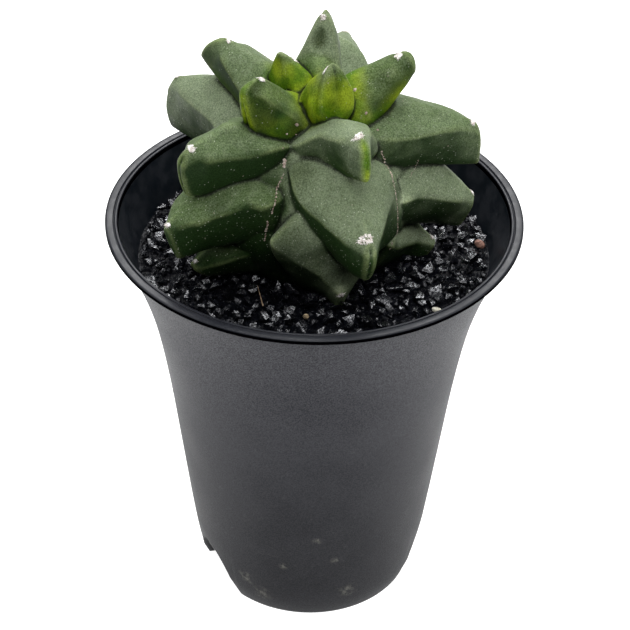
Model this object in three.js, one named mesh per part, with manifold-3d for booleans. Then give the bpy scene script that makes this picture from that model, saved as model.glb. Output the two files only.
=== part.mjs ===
// A bishop's cap cactus of the bare, tubercled kind in a tall black plastic pot, dressed with black grit.
// Millimetres, +Z up. The origin is the centre of the pot's foot on the surface that it stands on, and the
// plant is seen from the front along +Y.

import * as THREE from 'three';
import { mergeVertices } from 'three/addons/utils/BufferGeometryUtils.js';
import Module from 'manifold-3d';

const wasm = await Module();
wasm.setup();

// Driving dimensions of the pot
const POT_HEIGHT = 97;
const FOOT_RADIUS = 24.3;
const RIM_RADIUS = 45;
const WALL = 1.2;
const LIP_THICKNESS = 1.1;
const LIP_INNER_RADIUS = 42.3;
const LIP_GROOVE_RADIUS = 43.1;
const LIP_GROOVE_DEPTH = 0.35;
const POT_SIDES = 48;
const FLOOR_UNDERSIDE = 13;
const FLOOR_TOP = 14.5;
const DRAIN_CENTRE_RADIUS = 4;
const DRAIN_HOLE_RADIUS = 2.5;
const DRAIN_RING_RADIUS = 14;
const DRAIN_HOLES = 6;
// The outer wall as [height, radius]: a slim cone that flares ever faster to the rim
const WALL_CURVE = [
  [0, FOOT_RADIUS], [5, 26.0], [15, 27.6], [35, 30.0], [55, 32.4], [70, 34.8], [80, 37.3], [88, 40.1],
  [93, 42.2],
];

// Arched drainage notches in the skirt below the floor
const ARCH_AZIMUTHS = [210, 350, 100];
const ARCH_HALF_WIDTH = 8.2;
const ARCH_HEIGHT = 12.3;
const ARCH_POWER = 2.2;

// Filling: potting mix up to the underside of the grit, and the grit up to 9 mm below the rim
const GAP = 0.3;
const MIX_TOP = 84.5;
const GRIT_BOTTOM = MIX_TOP + GAP;
const GRIT_TOP = 88;
const GRIT_RINGS = 16;
const GRIT_ROUGHNESS = 0.85;
const GRIT_JITTER = 0.55;

// The plant stands 1 mm left of the pot's axis. Radii are from its own axis, heights from the pot's foot.
const PLANT_X = -1;
const PLANT_Y = 0;
const RIB_AZIMUTHS = [286, 2, 74, 146, 214];
// The body behind the tubercles as [radius, height], measured in the furrows between the ribs
const BODY_CURVE = [
  [0, 126.5], [5, 125.6], [9, 123.8], [12.3, 121.3], [14.8, 118.2], [16.8, 115], [18.3, 111], [19.4, 106],
  [19.6, 101], [18, 96], [14.8, 91], [12.4, 87], [9.5, 83.5], [0, 82],
];
const BODY_SIDES = 40;
const RIB_SWELL = 2.4;
const ROOT_CURVE = [[0, 85], [7.5, 84], [6.5, 76], [4.2, 66], [2.2, 58], [0, 57]];
const WOOL_RADIUS = 1.15;

// Each tubercle lies in the upright plane of its rib. Pairs are [radius, height]: root and crest lead
// along the top to the areole, nose is the most outward point of the keel, keel is its lower end, and
// under is where the underside meets the body, which it does at the height foot by the plant's middle.
// shoulder is [distance in from the areole, half width, drop below the top] of the last broad place. tip
// gives the keel's own half width above and below, and how far down its side ridges lie.
// side is the flank that faces the way of rising azimuth, and otherSide the opposite one where the two
// differ: corner is where its ridge meets the furrow, as [radius along the rib, distance across,
// height], mid is its ridge below the crest as [distance across, height, half width of the underside
// there], flank is the half width of the underside by the furrow, and lift raises its edge there. A name
// gives the rib and the tier.
const TUBERCLES = [
  { name: 'front_1', azimuth: 300, root: [-1.5, 127], crest: [3, 133.2], areole: [6.2, 136.9],
    nose: [8.4, 137.4], keel: [11.2, 125.6], under: [5, 118], foot: 118, shoulder: [1.6, 2.9, 3.6],
    keelWidth: 4.6, tip: [1.4, 4.3, 0.14], side: { corner: [4, 5, 127.4], mid: [4.9, 128.2], flank: 5.4 },
    otherSide: { corner: [4, 5.2, 127], mid: [5, 128], flank: 5.4 } },
  { name: 'front_2', azimuth: 294, root: [1, 122.4], crest: [15.5, 129.2], areole: [23.5, 130.5],
    nose: [26.6, 128.4], keel: [27.2, 121.5], under: [14, 117], foot: 117, shoulder: [3, 3.6, 1.4],
    keelWidth: 1.7, tip: [1, 1, 0.2],
    side: { corner: [14.5, 7.9, 121.6], mid: [6, 126.2, 8.6], flank: 5.4 },
    otherSide: { corner: [9.4, 8.5, 121.8], mid: [5.4, 126.6], flank: 5.4 } },
  { name: 'front_3', azimuth: 292, root: [2, 124], crest: [20, 120.4], areole: [31.5, 111],
    nose: [33.3, 106.5], keel: [31, 100.4], under: [18, 97.5], foot: 99, shoulder: [4.5, 4.6, 3.8],
    keelWidth: 2.1, side: { corner: [14.5, 12.2, 114.5], mid: [10.6, 111.6, 12], flank: 12.8 },
    otherSide: { corner: [15, 10.6, 118], mid: [9.6, 113.8], flank: 6.5, lift: 8 } },
  { name: 'front_4', azimuth: 289, root: [15, 119], crest: [24, 109.5], areole: [21.4, 93.6],
    nose: [21.8, 91], keel: [19.8, 86], under: [12, 86], foot: 99, shoulder: [5, 4.8, 2], keelWidth: 1.5,
    tip: [1, 0.8, 0.2], side: { corner: [18.6, 12.8, 104.5], mid: [9.5, 100.5, 6], flank: 9 },
    otherSide: { corner: [18.6, 14.9, 105], mid: [10.7, 100.4, 5.6], flank: 8 } },

  { name: 'left_1', azimuth: 222, root: [-2, 125], crest: [6.5, 129.9], areole: [13.3, 136],
    nose: [18.3, 134.8], keel: [15.4, 122.6], under: [9, 114], foot: 114, shoulder: [2.6, 4.2, 2.4],
    keelWidth: 2.8, tip: [1.5, 2.2, 0.3], side: { corner: [5, 7.2, 123.5], mid: [6.6, 124.8], flank: 7 } },
  { name: 'left_2', azimuth: 218, root: [1, 117.6], crest: [20.5, 127.2], areole: [30.3, 125.2],
    nose: [33.3, 121], keel: [31, 113.7], under: [17, 111.5], foot: 115, shoulder: [3.2, 4.2, 2.6],
    keelWidth: 1.8, side: { corner: [13.2, 7.4, 122.5], mid: [6.2, 122], flank: 4.4 } },
  { name: 'left_3', azimuth: 218, root: [3, 119], crest: [24.5, 115.2], areole: [36.8, 109.2],
    nose: [36, 105.4], keel: [33.9, 99.6], under: [18, 99], foot: 102, shoulder: [5, 4.8, 1.4],
    keelWidth: 1.8, side: { corner: [18.4, 11.2, 112.8], mid: [8, 112.2], flank: 7.5 } },
  { name: 'left_4', azimuth: 212, root: [4, 107], crest: [19, 101.5], areole: [28.5, 94.5],
    nose: [28.4, 92.6], keel: [25.4, 90.2], under: [12, 87.5], foot: 93, shoulder: [4, 4, 1.8],
    keelWidth: 1.8, side: { corner: [16, 10, 99.5] } },

  { name: 'right_1', azimuth: 4, root: [1, 127], crest: [10.4, 132.6], areole: [17.5, 135.9],
    nose: [21, 134.4], keel: [20.6, 131], under: [12, 117], foot: 115, shoulder: [2.5, 4, 2.2],
    keelWidth: 2.8, tip: [1.5, 1.9, 0.35], side: { corner: [8, 7.8, 123.5], mid: [7.2, 126], flank: 7 } },
  { name: 'right_2', azimuth: 2, root: [1, 122.5], crest: [20, 125], areole: [33.9, 120.2],
    nose: [35.4, 116.5], keel: [35, 109.9], under: [17, 110], foot: 112, shoulder: [6, 4.8, 1.2],
    keelWidth: 1.9, side: { corner: [13.6, 9.8, 122.3], mid: [8.6, 121.3], flank: 7.4 } },
  { name: 'right_3', azimuth: 2, root: [3, 118], crest: [26, 111.8], areole: [34.7, 102.3],
    nose: [34.4, 98.5], keel: [31.8, 94], under: [18, 96.5], foot: 99, shoulder: [4, 4.4, 2],
    keelWidth: 1.8, side: { corner: [17.4, 12.3, 108.2], mid: [8.4, 106.6], flank: 8 } },
  { name: 'right_4', azimuth: 2, root: [5, 107], crest: [20, 98], areole: [26.8, 90.5], nose: [26.9, 89.3],
    keel: [25, 86], under: [12, 84], foot: 90, shoulder: [4, 3.6, 1.8], keelWidth: 1.8,
    side: { corner: [16, 12.5, 98] } },

  { name: 'back_left_1', azimuth: 150, root: [-3.5, 125.5], crest: [1, 131], areole: [4.7, 133.4],
    nose: [7.6, 134.7], keel: [9.5, 127], under: [2, 118], foot: 118, shoulder: [1.5, 2.4, 2],
    keelWidth: 2.4, tip: [1.1, 1.5, 0.35], side: { corner: [0, 3.9, 126.4], mid: [3.8, 127.6], flank: 3.9 } },
  { name: 'back_left_2', azimuth: 146, root: [2, 124], crest: [12, 130], areole: [20.8, 132.2],
    nose: [25.5, 130.5], keel: [28, 126.1], under: [13, 115], foot: 118, shoulder: [3, 4.4, 2.2],
    keelWidth: 1.7, side: { corner: [10.5, 8.5, 124] } },
  { name: 'back_left_3', azimuth: 146, root: [3, 126], crest: [21, 123.6], areole: [35.1, 118.9],
    nose: [37.8, 113], keel: [36.4, 105.4], under: [18, 103], foot: 108, shoulder: [5, 4.6, 2.2],
    keelWidth: 1.8, side: { corner: [14.5, 10.5, 117] } },
  { name: 'back_left_4', azimuth: 147, root: [4, 114], crest: [22, 106], areole: [33.5, 99.5],
    nose: [34, 96], keel: [31.5, 91.5], under: [14, 88], foot: 94, shoulder: [5, 4.4, 1.8], keelWidth: 1.8,
    side: { corner: [16.5, 12, 104] } },

  { name: 'back_1', azimuth: 71, root: [-1.5, 126], crest: [3.5, 135], areole: [7, 142.4],
    nose: [8.8, 141.2], keel: [13.5, 129], under: [6, 117], foot: 117, shoulder: [1.8, 2.2, 1.6],
    keelWidth: 2.4, tip: [1.1, 1.6, 0.3], side: { corner: [4, 7.2, 127.5], flank: 6 },
    otherSide: { corner: [4, 6.3, 127.5], flank: 6 } },
  { name: 'back_2', azimuth: 75, root: [2, 122], crest: [17.5, 130.6], areole: [26.5, 127.1],
    nose: [29.5, 122.8], keel: [29.5, 114.5], under: [15, 112], foot: 117, shoulder: [4, 3.8, 2],
    keelWidth: 1.8, side: { corner: [12, 9, 122] }, otherSide: { corner: [12, 10, 122] } },
  { name: 'back_3', azimuth: 74, root: [3, 124], crest: [23, 118], areole: [35, 111.5], nose: [36.8, 107],
    keel: [34.5, 100], under: [18, 99], foot: 104, shoulder: [5, 4.8, 2], keelWidth: 1.8,
    side: { corner: [15.5, 11.5, 113] } },
  { name: 'back_4', azimuth: 73, root: [5, 109], crest: [20, 102], areole: [29.5, 94.5], nose: [30, 92],
    keel: [27.5, 88.5], under: [12, 86], foot: 91, shoulder: [4, 4, 1.8], keelWidth: 1.8,
    side: { corner: [16, 12, 99.5] } },
];

// Small bits that lie half sunk in the grit: centre, half sizes and turn about Z in degrees
const STRAY_STONES = [
  { name: 'brown_stone', centre: [36.2, 1.4, 88.6], half: [1.45, 0.95, 0.95], turn: -50, colour: 0x7c4f3c },
  { name: 'pale_chip', centre: [26, -22.6, 88.4], half: [1.25, 0.7, 0.6], turn: -30, colour: 0xd8d3bd },
  { name: 'pale_grain', centre: [-1.4, -25.6, 88.4], half: [0.65, 0.6, 0.6], turn: 0, colour: 0xd9c08f },
];
const STRAW = { top: [-11.7, -17.6, 90.2], bottom: [-10.4, -21.8, 88.1], radius: 0.35 };

// A repeatable draw between -1 and 1 for each whole number
function draw(index) {
  const wave = Math.sin(index * 12.9898 + 4.137) * 43758.5453;
  return 2 * (wave - Math.floor(wave)) - 1;
}

function mix(a, b, t) {
  return a.map((value, i) => value * (1 - t) + b[i] * t);
}

function indexedGeometry(points, index) {
  const positions = new Float32Array(points.flatMap((p) => p.toArray()));
  const geometry = new THREE.BufferGeometry();
  geometry.setAttribute('position', new THREE.BufferAttribute(positions, 3));
  geometry.setIndex(index);
  return geometry;
}

// A closed geometry as a solid with its faces pointing out
function toSolid(geometry) {
  const bare = geometry.clone();
  for (const name of Object.keys(bare.attributes)) if (name !== 'position') bare.deleteAttribute(name);
  const merged = mergeVertices(bare, 1e-4);
  const vertProperties = new Float32Array(merged.attributes.position.array);
  const triVerts = new Uint32Array(merged.index.array);
  const solid = new wasm.Manifold(new wasm.Mesh({ numProp: 3, vertProperties, triVerts }));
  if (solid.volume() > 0) return solid;
  for (let i = 0; i < triVerts.length; i += 3) {
    [triVerts[i + 1], triVerts[i + 2]] = [triVerts[i + 2], triVerts[i + 1]];
  }
  return new wasm.Manifold(new wasm.Mesh({ numProp: 3, vertProperties, triVerts }));
}

function toGeometry(solid) {
  const mesh = solid.getMesh();
  const geometry = new THREE.BufferGeometry();
  geometry.setAttribute('position', new THREE.BufferAttribute(new Float32Array(mesh.vertProperties), 3));
  geometry.setIndex(new THREE.BufferAttribute(new Uint32Array(mesh.triVerts), 1));
  geometry.computeVertexNormals();
  return geometry;
}

// The largest of the bodies that a cut leaves: loose scraps are dropped
function largestBody(solid) {
  return solid.decompose().reduce((best, body) => (body.volume() > best.volume() ? body : best));
}

// A lathe about +Z through [radius, height] points
function lathe(points, sides) {
  const geometry = new THREE.LatheGeometry(points.map(([r, z]) => new THREE.Vector2(r, z)), sides);
  return geometry.rotateX(Math.PI / 2);
}

// A skin over rings of equally many points, closed by a fan at either end
function skin(rings) {
  const count = rings[0].length;
  const centre = (ring) => ring.reduce((sum, p) => sum.add(p), new THREE.Vector3()).divideScalar(count);
  const points = [...rings.flat(), centre(rings[0]), centre(rings[rings.length - 1])];
  const firstCentre = points.length - 2;
  const lastRing = (rings.length - 1) * count;
  const index = [];
  for (let j = 0; j < count; j++) {
    const next = (j + 1) % count;
    for (let i = 0; i < rings.length - 1; i++) {
      const a = i * count + j;
      const b = i * count + next;
      index.push(a, b + count, b, a, a + count, b + count);
    }
    index.push(firstCentre, j, next);
    index.push(firstCentre + 1, lastRing + next, lastRing + j);
  }
  return indexedGeometry(points, index);
}

// The radius of the wall's inside at a height
function insideRadius(height) {
  const i = Math.max(1, WALL_CURVE.findIndex(([z]) => z >= height));
  const [z0, r0] = WALL_CURVE[i - 1];
  const [z1, r1] = WALL_CURVE[i];
  return r0 + ((r1 - r0) * (height - z0)) / (z1 - z0) - WALL;
}

// The pot: skirt with a raised floor, flaring wall and a grooved lip
function potSolid() {
  const inner = WALL_CURVE.map(([z, r]) => [r - WALL, z]);
  const lipUnderside = POT_HEIGHT - LIP_THICKNESS;
  const profile = [
    [0, FLOOR_UNDERSIDE],
    [insideRadius(FLOOR_UNDERSIDE), FLOOR_UNDERSIDE],
    [insideRadius(5), 5],
    [insideRadius(0), 0],
    ...WALL_CURVE.map(([z, r]) => [r, z]),
    [LIP_INNER_RADIUS + WALL, lipUnderside - 0.3],
    [RIM_RADIUS - 0.2, lipUnderside],
    [RIM_RADIUS, lipUnderside + 0.3],
    [RIM_RADIUS, POT_HEIGHT - 0.3],
    [RIM_RADIUS - 0.3, POT_HEIGHT],
    [LIP_GROOVE_RADIUS + 0.25, POT_HEIGHT],
    [LIP_GROOVE_RADIUS, POT_HEIGHT - LIP_GROOVE_DEPTH],
    [LIP_GROOVE_RADIUS - 0.25, POT_HEIGHT],
    [LIP_INNER_RADIUS, POT_HEIGHT - 0.15],
    ...inner.filter(([, z]) => z > FLOOR_TOP).reverse(),
    [insideRadius(FLOOR_TOP) - 0.2, FLOOR_TOP],
    [0, FLOOR_TOP],
  ];
  let pot = toSolid(lathe(profile, POT_SIDES));
  for (const azimuth of ARCH_AZIMUTHS) pot = pot.subtract(archCutter(azimuth));
  pot = pot.subtract(drainCutter(0, 0, DRAIN_CENTRE_RADIUS));
  for (let k = 0; k < DRAIN_HOLES; k++) {
    const angle = (2 * Math.PI * k) / DRAIN_HOLES;
    const [x, y] = [DRAIN_RING_RADIUS * Math.cos(angle), DRAIN_RING_RADIUS * Math.sin(angle)];
    pot = pot.subtract(drainCutter(x, y, DRAIN_HOLE_RADIUS));
  }
  return pot;
}

function archCutter(azimuth) {
  const steps = 12;
  const outline = new THREE.Shape();
  outline.moveTo(-ARCH_HALF_WIDTH, -1);
  for (let i = 0; i <= steps; i++) {
    const across = (2 * i) / steps - 1;
    outline.lineTo(across * ARCH_HALF_WIDTH, ARCH_HEIGHT * (1 - Math.abs(across) ** ARCH_POWER));
  }
  outline.lineTo(ARCH_HALF_WIDTH, -1);
  const reach = FOOT_RADIUS;
  const cutter = new THREE.ExtrudeGeometry(outline, { depth: reach, bevelEnabled: false });
  cutter.rotateX(Math.PI / 2).rotateZ(Math.PI / 2);
  cutter.translate(FOOT_RADIUS / 2, 0, 0).rotateZ(THREE.MathUtils.degToRad(azimuth));
  return toSolid(cutter);
}

function drainCutter(x, y, radius) {
  const height = 4 * (FLOOR_TOP - FLOOR_UNDERSIDE);
  const cutter = new THREE.CylinderGeometry(radius, radius, height, 16).rotateX(Math.PI / 2);
  return toSolid(cutter.translate(x, y, (FLOOR_TOP + FLOOR_UNDERSIDE) / 2));
}

// The radius of the filling at a height
function fillRadius(height) {
  return insideRadius(height) - GAP;
}

// One tubercle as rings across its length, from the body out to the keel. grow makes it larger all over.
function tubercleGeometry(tubercle, grow = 0) {
  const { areole, nose, keel, root, crest, under, foot, keelWidth } = tubercle;
  const sides = [tubercle.side, tubercle.otherSide ?? tubercle.side];
  const [back, shoulderWidth, shoulderDrop] = tubercle.shoulder;
  const [tipWidth, tipFlank, tipRidge] = tubercle.tip ?? [1.4, 1.2, 0.2];
  const low = [Math.min(root[0] + 1, under[0]), foot];
  const top = (t) => (t <= 0.5 ? mix(root, crest, t / 0.5) : mix(crest, areole, (t - 0.5) / 0.5));
  const bottom = (t) => (t <= 0.5 ? mix(low, under, t / 0.5) : mix(under, keel, (t - 0.5) / 0.5));

  // Stations along the length: root, corner, crest, halfway on, shoulder, last and areole
  const cornerRadius = 0.5 * (sides[0].corner[0] + sides[1].corner[0]);
  const cornerShare = (cornerRadius - root[0]) / (crest[0] - root[0]);
  const cornerAt = THREE.MathUtils.clamp(0.5 * cornerShare, 0.12, 0.42);
  const topLength = Math.hypot(areole[0] - crest[0], areole[1] - crest[1]);
  const shoulderAt = 0.5 + 0.5 * Math.max(0.15, 1 - back / topLength);
  const halfway = 0.5 * (0.5 + shoulderAt);
  const last = 0.5 * (shoulderAt + 1);
  const stations = [0, cornerAt, 0.5, halfway, shoulderAt, last, 1];

  // Along one side: half width, height of the ridge and half width of the underside at each station
  const rowsAlong = ({ corner, mid, flank = 0.6 * corner[1] }) => {
    const [, width, height] = corner;
    const straight = [0.85 * width, 0.5 * (height + crest[1] - 0.425 * width)];
    const [midWidth, midHeight, midFlank = 0.75 * flank] = mid ?? straight;
    const shoulderHeight = top(shoulderAt)[1] - shoulderDrop;
    const halfwayRidge = mix([midWidth, midHeight], [shoulderWidth, shoulderHeight], 0.5);
    return [
      [0.6 * width, height, 0.6 * flank],
      [width, height, flank],
      [midWidth, midHeight, midFlank],
      [...halfwayRidge, 0.4 * midFlank + 0.6 * keelWidth],
      [shoulderWidth, shoulderHeight, 1.1 * keelWidth],
      [0.62 * shoulderWidth, top(last)[1] - 0.85 * shoulderDrop, keelWidth],
      [tipWidth, areole[1] - tipRidge * (areole[1] - keel[1]), tipFlank],
    ];
  };
  const rows = sides.map(rowsAlong);

  // The keel bows out of the line from areole to keel end, furthest at the nose
  const chord = [keel[0] - areole[0], keel[1] - areole[1]];
  const along = (nose[0] - areole[0]) * chord[0] + (nose[1] - areole[1]) * chord[1];
  const noseAt = THREE.MathUtils.clamp(along / (chord[0] ** 2 + chord[1] ** 2), 0.08, 0.9);
  const bow = [0, 1].map((i) => nose[i] - mix(areole, keel, noseAt)[i]);

  // One side of a ring from the top to the underside as [across, radius, height, share of the way down]
  const sideProfile = (i, which) => {
    const [high, deep] = [top(stations[i]), bottom(stations[i])];
    const { corner, lift = 0 } = sides[which];
    const [width, ridgeHeight, underWidth] = rows[which][i];
    const ridge = THREE.MathUtils.clamp((high[1] - ridgeHeight) / (high[1] - deep[1]), 0.06, 0.72);
    const ridgePoint = i === 1 ? [corner[0], Math.min(ridgeHeight, high[1] - 0.3)] : mix(high, deep, ridge);
    const edge = [deep[0], deep[1] + lift * Math.max(0, 1 - stations[i] / 0.8)];
    const outline = [
      [0.5 * width, 0.44 * ridge], [0.88 * width, 0.86 * ridge], [width, ridge + 0.05 * (1 - ridge)],
      [0.57 * (width + underWidth), 0.5 + 0.5 * ridge], [underWidth, 0.95],
    ];
    return outline.map(([across, f]) => {
      const inTop = f <= ridge;
      const [from, to] = inTop ? [high, ridgePoint] : [ridgePoint, edge];
      const place = mix(from, to, inTop ? f / ridge : (f - ridge) / (1 - ridge));
      return [across, ...place, f];
    });
  };

  const azimuth = THREE.MathUtils.degToRad(tubercle.azimuth);
  const rings = stations.map((t, i) => {
    const otherProfile = sideProfile(i, 1).reverse().map(([across, ...rest]) => [-across, ...rest]);
    const ring = [[0, ...top(t), 0], ...sideProfile(i, 0), [0, ...bottom(t), 1], ...otherProfile];
    const reach = Math.max(0, (t - 0.5) / 0.5) ** 1.5;
    return ring.map(([across, radius, height, f]) => {
      const rise = f < noseAt ? f / noseAt : (1 - f) / (1 - noseAt);
      const bowHere = rise > 0 ? reach * rise ** 0.8 : 0;
      const r = radius + bow[0] * bowHere;
      return new THREE.Vector3(
        PLANT_X + r * Math.cos(azimuth) - across * Math.sin(azimuth),
        PLANT_Y + r * Math.sin(azimuth) + across * Math.cos(azimuth),
        height + bow[1] * bowHere,
      );
    });
  });
  if (grow > 0) growRings(rings, grow, new THREE.Vector3(Math.cos(azimuth), Math.sin(azimuth), 0));
  return skin(rings);
}

// Moves every ring's points away from its middle, and the last ring outward as well
function growRings(rings, grow, outward) {
  rings.forEach((ring, i) => {
    const middle = ring.reduce((sum, p) => sum.add(p), new THREE.Vector3()).divideScalar(ring.length);
    ring.forEach((p) => {
      p.add(p.clone().sub(middle).setLength(grow));
      if (i === rings.length - 1) p.addScaledVector(outward, grow);
    });
  });
}

// The five-ribbed body behind the tubercles, as rings round the plant's axis
function bodyGeometry(grow = 0) {
  const rings = BODY_CURVE.map(([radius, height]) => {
    const swell = RIB_SWELL * THREE.MathUtils.clamp((radius - 8) / 8, 0, 1);
    const ring = [];
    for (let k = 0; k < BODY_SIDES; k++) {
      const azimuth = (360 * k) / BODY_SIDES + 2;
      const offRib = Math.min(...RIB_AZIMUTHS.map((rib) => Math.abs(((azimuth - rib + 540) % 360) - 180)));
      const r = Math.max(0.05, radius) + grow + swell * (1 - Math.min(1, offRib / 36) ** 2);
      const angle = THREE.MathUtils.degToRad(azimuth);
      ring.push(new THREE.Vector3(PLANT_X + r * Math.cos(angle), PLANT_Y + r * Math.sin(angle), height));
    }
    return ring;
  });
  return skin(rings);
}

function rootGeometry(grow = 0) {
  const lowest = ROOT_CURVE.length - 1;
  const points = ROOT_CURVE.map(([r, z], i) => [r > 0 ? r + grow : 0, i === lowest ? z - grow : z]);
  return lathe(points, 20).translate(PLANT_X, PLANT_Y, 0);
}

// The whole plant: body, tap root and tubercles in one solid
function plantSolid(grow = 0) {
  let plant = toSolid(bodyGeometry(grow)).add(toSolid(rootGeometry(grow)));
  for (const tubercle of TUBERCLES) plant = plant.add(toSolid(tubercleGeometry(tubercle, grow)));
  return plant;
}

// A low cushion of wool on each areole
function woolSolid({ azimuth, areole }) {
  const angle = THREE.MathUtils.degToRad(azimuth);
  const cushion = new THREE.IcosahedronGeometry(WOOL_RADIUS, 0);
  const [radius, height] = areole;
  cushion.translate(PLANT_X + radius * Math.cos(angle), PLANT_Y + radius * Math.sin(angle), height - 0.3);
  return toSolid(cushion);
}

function mixSolid(plantCutter) {
  const between = WALL_CURVE.map(([z]) => z).filter((z) => z > FLOOR_TOP + 1 && z < MIX_TOP);
  const heights = [FLOOR_TOP + GAP, ...between, MIX_TOP];
  const profile = [[0, heights[0]], ...heights.map((z) => [fillRadius(z), z]), [0, MIX_TOP]];
  return largestBody(toSolid(lathe(profile, POT_SIDES)).subtract(plantCutter));
}

// The grit: a slab whose top is a net of points on rings, each raised or lowered and shifted by a draw
function gritSolid(plantCutter, bitCutters) {
  const rim = fillRadius(GRIT_TOP - GRIT_ROUGHNESS);
  const spacing = rim / GRIT_RINGS;
  const points = [new THREE.Vector3(0, 0, GRIT_TOP)];
  const ringStart = [0];
  for (let k = 1; k <= GRIT_RINGS; k++) {
    ringStart.push(points.length);
    for (let j = 0; j < 6 * k; j++) {
      const seed = points.length * 3;
      const loose = k < GRIT_RINGS ? GRIT_JITTER : 0;
      const turned = j + (loose ? 0.5 * (k % 2) : 0);
      const angle = (2 * Math.PI * turned) / (6 * k) + (loose * draw(seed)) / (k * spacing);
      const radius = k * spacing + loose * draw(seed + 1);
      const height = GRIT_TOP + (loose ? GRIT_ROUGHNESS * draw(seed + 2) : -0.4);
      points.push(new THREE.Vector3(radius * Math.cos(angle), radius * Math.sin(angle), height));
    }
  }
  const index = [];
  for (let k = 1; k <= GRIT_RINGS; k++) {
    for (let side = 0; side < 6; side++) {
      for (let j = 0; j < k; j++) {
        const outer = (n) => ringStart[k] + ((side * k + n) % (6 * k));
        const inner = (n) => (k === 1 ? 0 : ringStart[k - 1] + ((side * (k - 1) + n) % (6 * (k - 1))));
        index.push(outer(j), outer(j + 1), inner(j));
        if (j < k - 1) index.push(inner(j), outer(j + 1), inner(j + 1));
      }
    }
  }
  const edge = ringStart[GRIT_RINGS];
  const count = 6 * GRIT_RINGS;
  const lowEdge = points.length;
  for (let j = 0; j < count; j++) {
    const angle = (2 * Math.PI * j) / count;
    const radius = fillRadius(GRIT_BOTTOM);
    points.push(new THREE.Vector3(radius * Math.cos(angle), radius * Math.sin(angle), GRIT_BOTTOM));
  }
  const centre = points.length;
  points.push(new THREE.Vector3(0, 0, GRIT_BOTTOM));
  for (let j = 0; j < count; j++) {
    const next = (j + 1) % count;
    index.push(edge + j, lowEdge + j, lowEdge + next, edge + j, lowEdge + next, edge + next);
    index.push(centre, lowEdge + next, lowEdge + j);
  }
  let grit = toSolid(indexedGeometry(points, index)).subtract(plantCutter);
  for (const cutter of bitCutters) grit = grit.subtract(cutter);
  return largestBody(grit);
}

function stoneGeometry({ centre, half, turn }, grow = 0) {
  const stone = new THREE.IcosahedronGeometry(1, 1);
  stone.scale(...half.map((size) => size + grow)).rotateZ(THREE.MathUtils.degToRad(turn));
  return stone.translate(...centre);
}

function strawGeometry(grow = 0) {
  const [top, bottom] = [new THREE.Vector3(...STRAW.top), new THREE.Vector3(...STRAW.bottom)];
  const length = top.distanceTo(bottom) + 2 * grow;
  const straw = new THREE.CylinderGeometry(0.7 * STRAW.radius + grow, STRAW.radius + grow, length, 6);
  const upright = new THREE.Vector3(0, 1, 0);
  const turn = new THREE.Quaternion().setFromUnitVectors(upright, top.clone().sub(bottom).normalize());
  return straw.applyQuaternion(turn).translate(...top.add(bottom).multiplyScalar(0.5).toArray());
}

function addPiece(group, name, geometry, colour, roughness) {
  const look = { color: colour, roughness, metalness: 0, flatShading: true };
  const material = new THREE.MeshStandardMaterial(look);
  const mesh = new THREE.Mesh(geometry, material);
  mesh.name = name;
  group.add(mesh);
}

const object = new THREE.Group();
const plantCutter = plantSolid(GAP + 0.1);
const stoneCutters = STRAY_STONES.map((stone) => toSolid(stoneGeometry(stone, GAP)));
const bitCutters = [...stoneCutters, toSolid(strawGeometry(GAP))];
const plant = TUBERCLES.reduce((solid, tubercle) => solid.add(woolSolid(tubercle)), plantSolid());

addPiece(object, 'pot', toGeometry(potSolid()), 0x3a3b3e, 0.55);
addPiece(object, 'potting_mix', toGeometry(mixSolid(plantCutter)), 0x2a211b, 0.95);
addPiece(object, 'grit_dressing', toGeometry(gritSolid(plantCutter, bitCutters)), 0x101113, 0.4);
addPiece(object, 'cactus', toGeometry(plant), 0x4c6b45, 0.6);
for (const stone of STRAY_STONES) addPiece(object, stone.name, stoneGeometry(stone), stone.colour, 0.8);
addPiece(object, 'straw_splinter', strawGeometry(), 0x9a7b4a, 0.8);

export default object;
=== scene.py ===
"""Looks of a potted bishop's cap cactus: flesh, wool, grit, pot and studio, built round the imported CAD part.

Lengths are in millimetres, and the studio's in metres. The frame is the row's: the origin is the centre of
the pot's foot, +Z is up, and the photograph looks along +Y.
"""

import math
import random

import bmesh
import bpy
import numpy as np
from mathutils import Matrix, Vector, kdtree, noise
from mathutils.bvhtree import BVHTree


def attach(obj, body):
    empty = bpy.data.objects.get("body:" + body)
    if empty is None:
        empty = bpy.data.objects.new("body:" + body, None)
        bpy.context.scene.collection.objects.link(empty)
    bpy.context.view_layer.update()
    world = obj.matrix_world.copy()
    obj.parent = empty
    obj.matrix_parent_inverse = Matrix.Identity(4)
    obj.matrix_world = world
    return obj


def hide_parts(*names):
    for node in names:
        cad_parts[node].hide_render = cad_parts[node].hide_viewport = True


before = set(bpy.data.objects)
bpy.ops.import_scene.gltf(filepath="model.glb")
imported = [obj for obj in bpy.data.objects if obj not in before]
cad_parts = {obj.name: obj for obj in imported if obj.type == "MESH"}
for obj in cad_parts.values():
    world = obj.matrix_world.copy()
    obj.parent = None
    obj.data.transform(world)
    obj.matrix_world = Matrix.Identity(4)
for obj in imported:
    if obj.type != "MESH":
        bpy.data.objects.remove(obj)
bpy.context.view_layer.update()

MM = 0.001

# The camera that the photograph was taken with: its aim, tilt down, roll and distance, and its focal length
# in pixels of the 630-pixel picture
PICTURE = 630
FOCAL_PIXELS = 2000
TILT_DOWN = math.radians(37.2)
ROLL = math.radians(1.04)
AIM = Vector((0.5, 0, 69.4))
CAMERA_DISTANCE = 447.5

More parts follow.
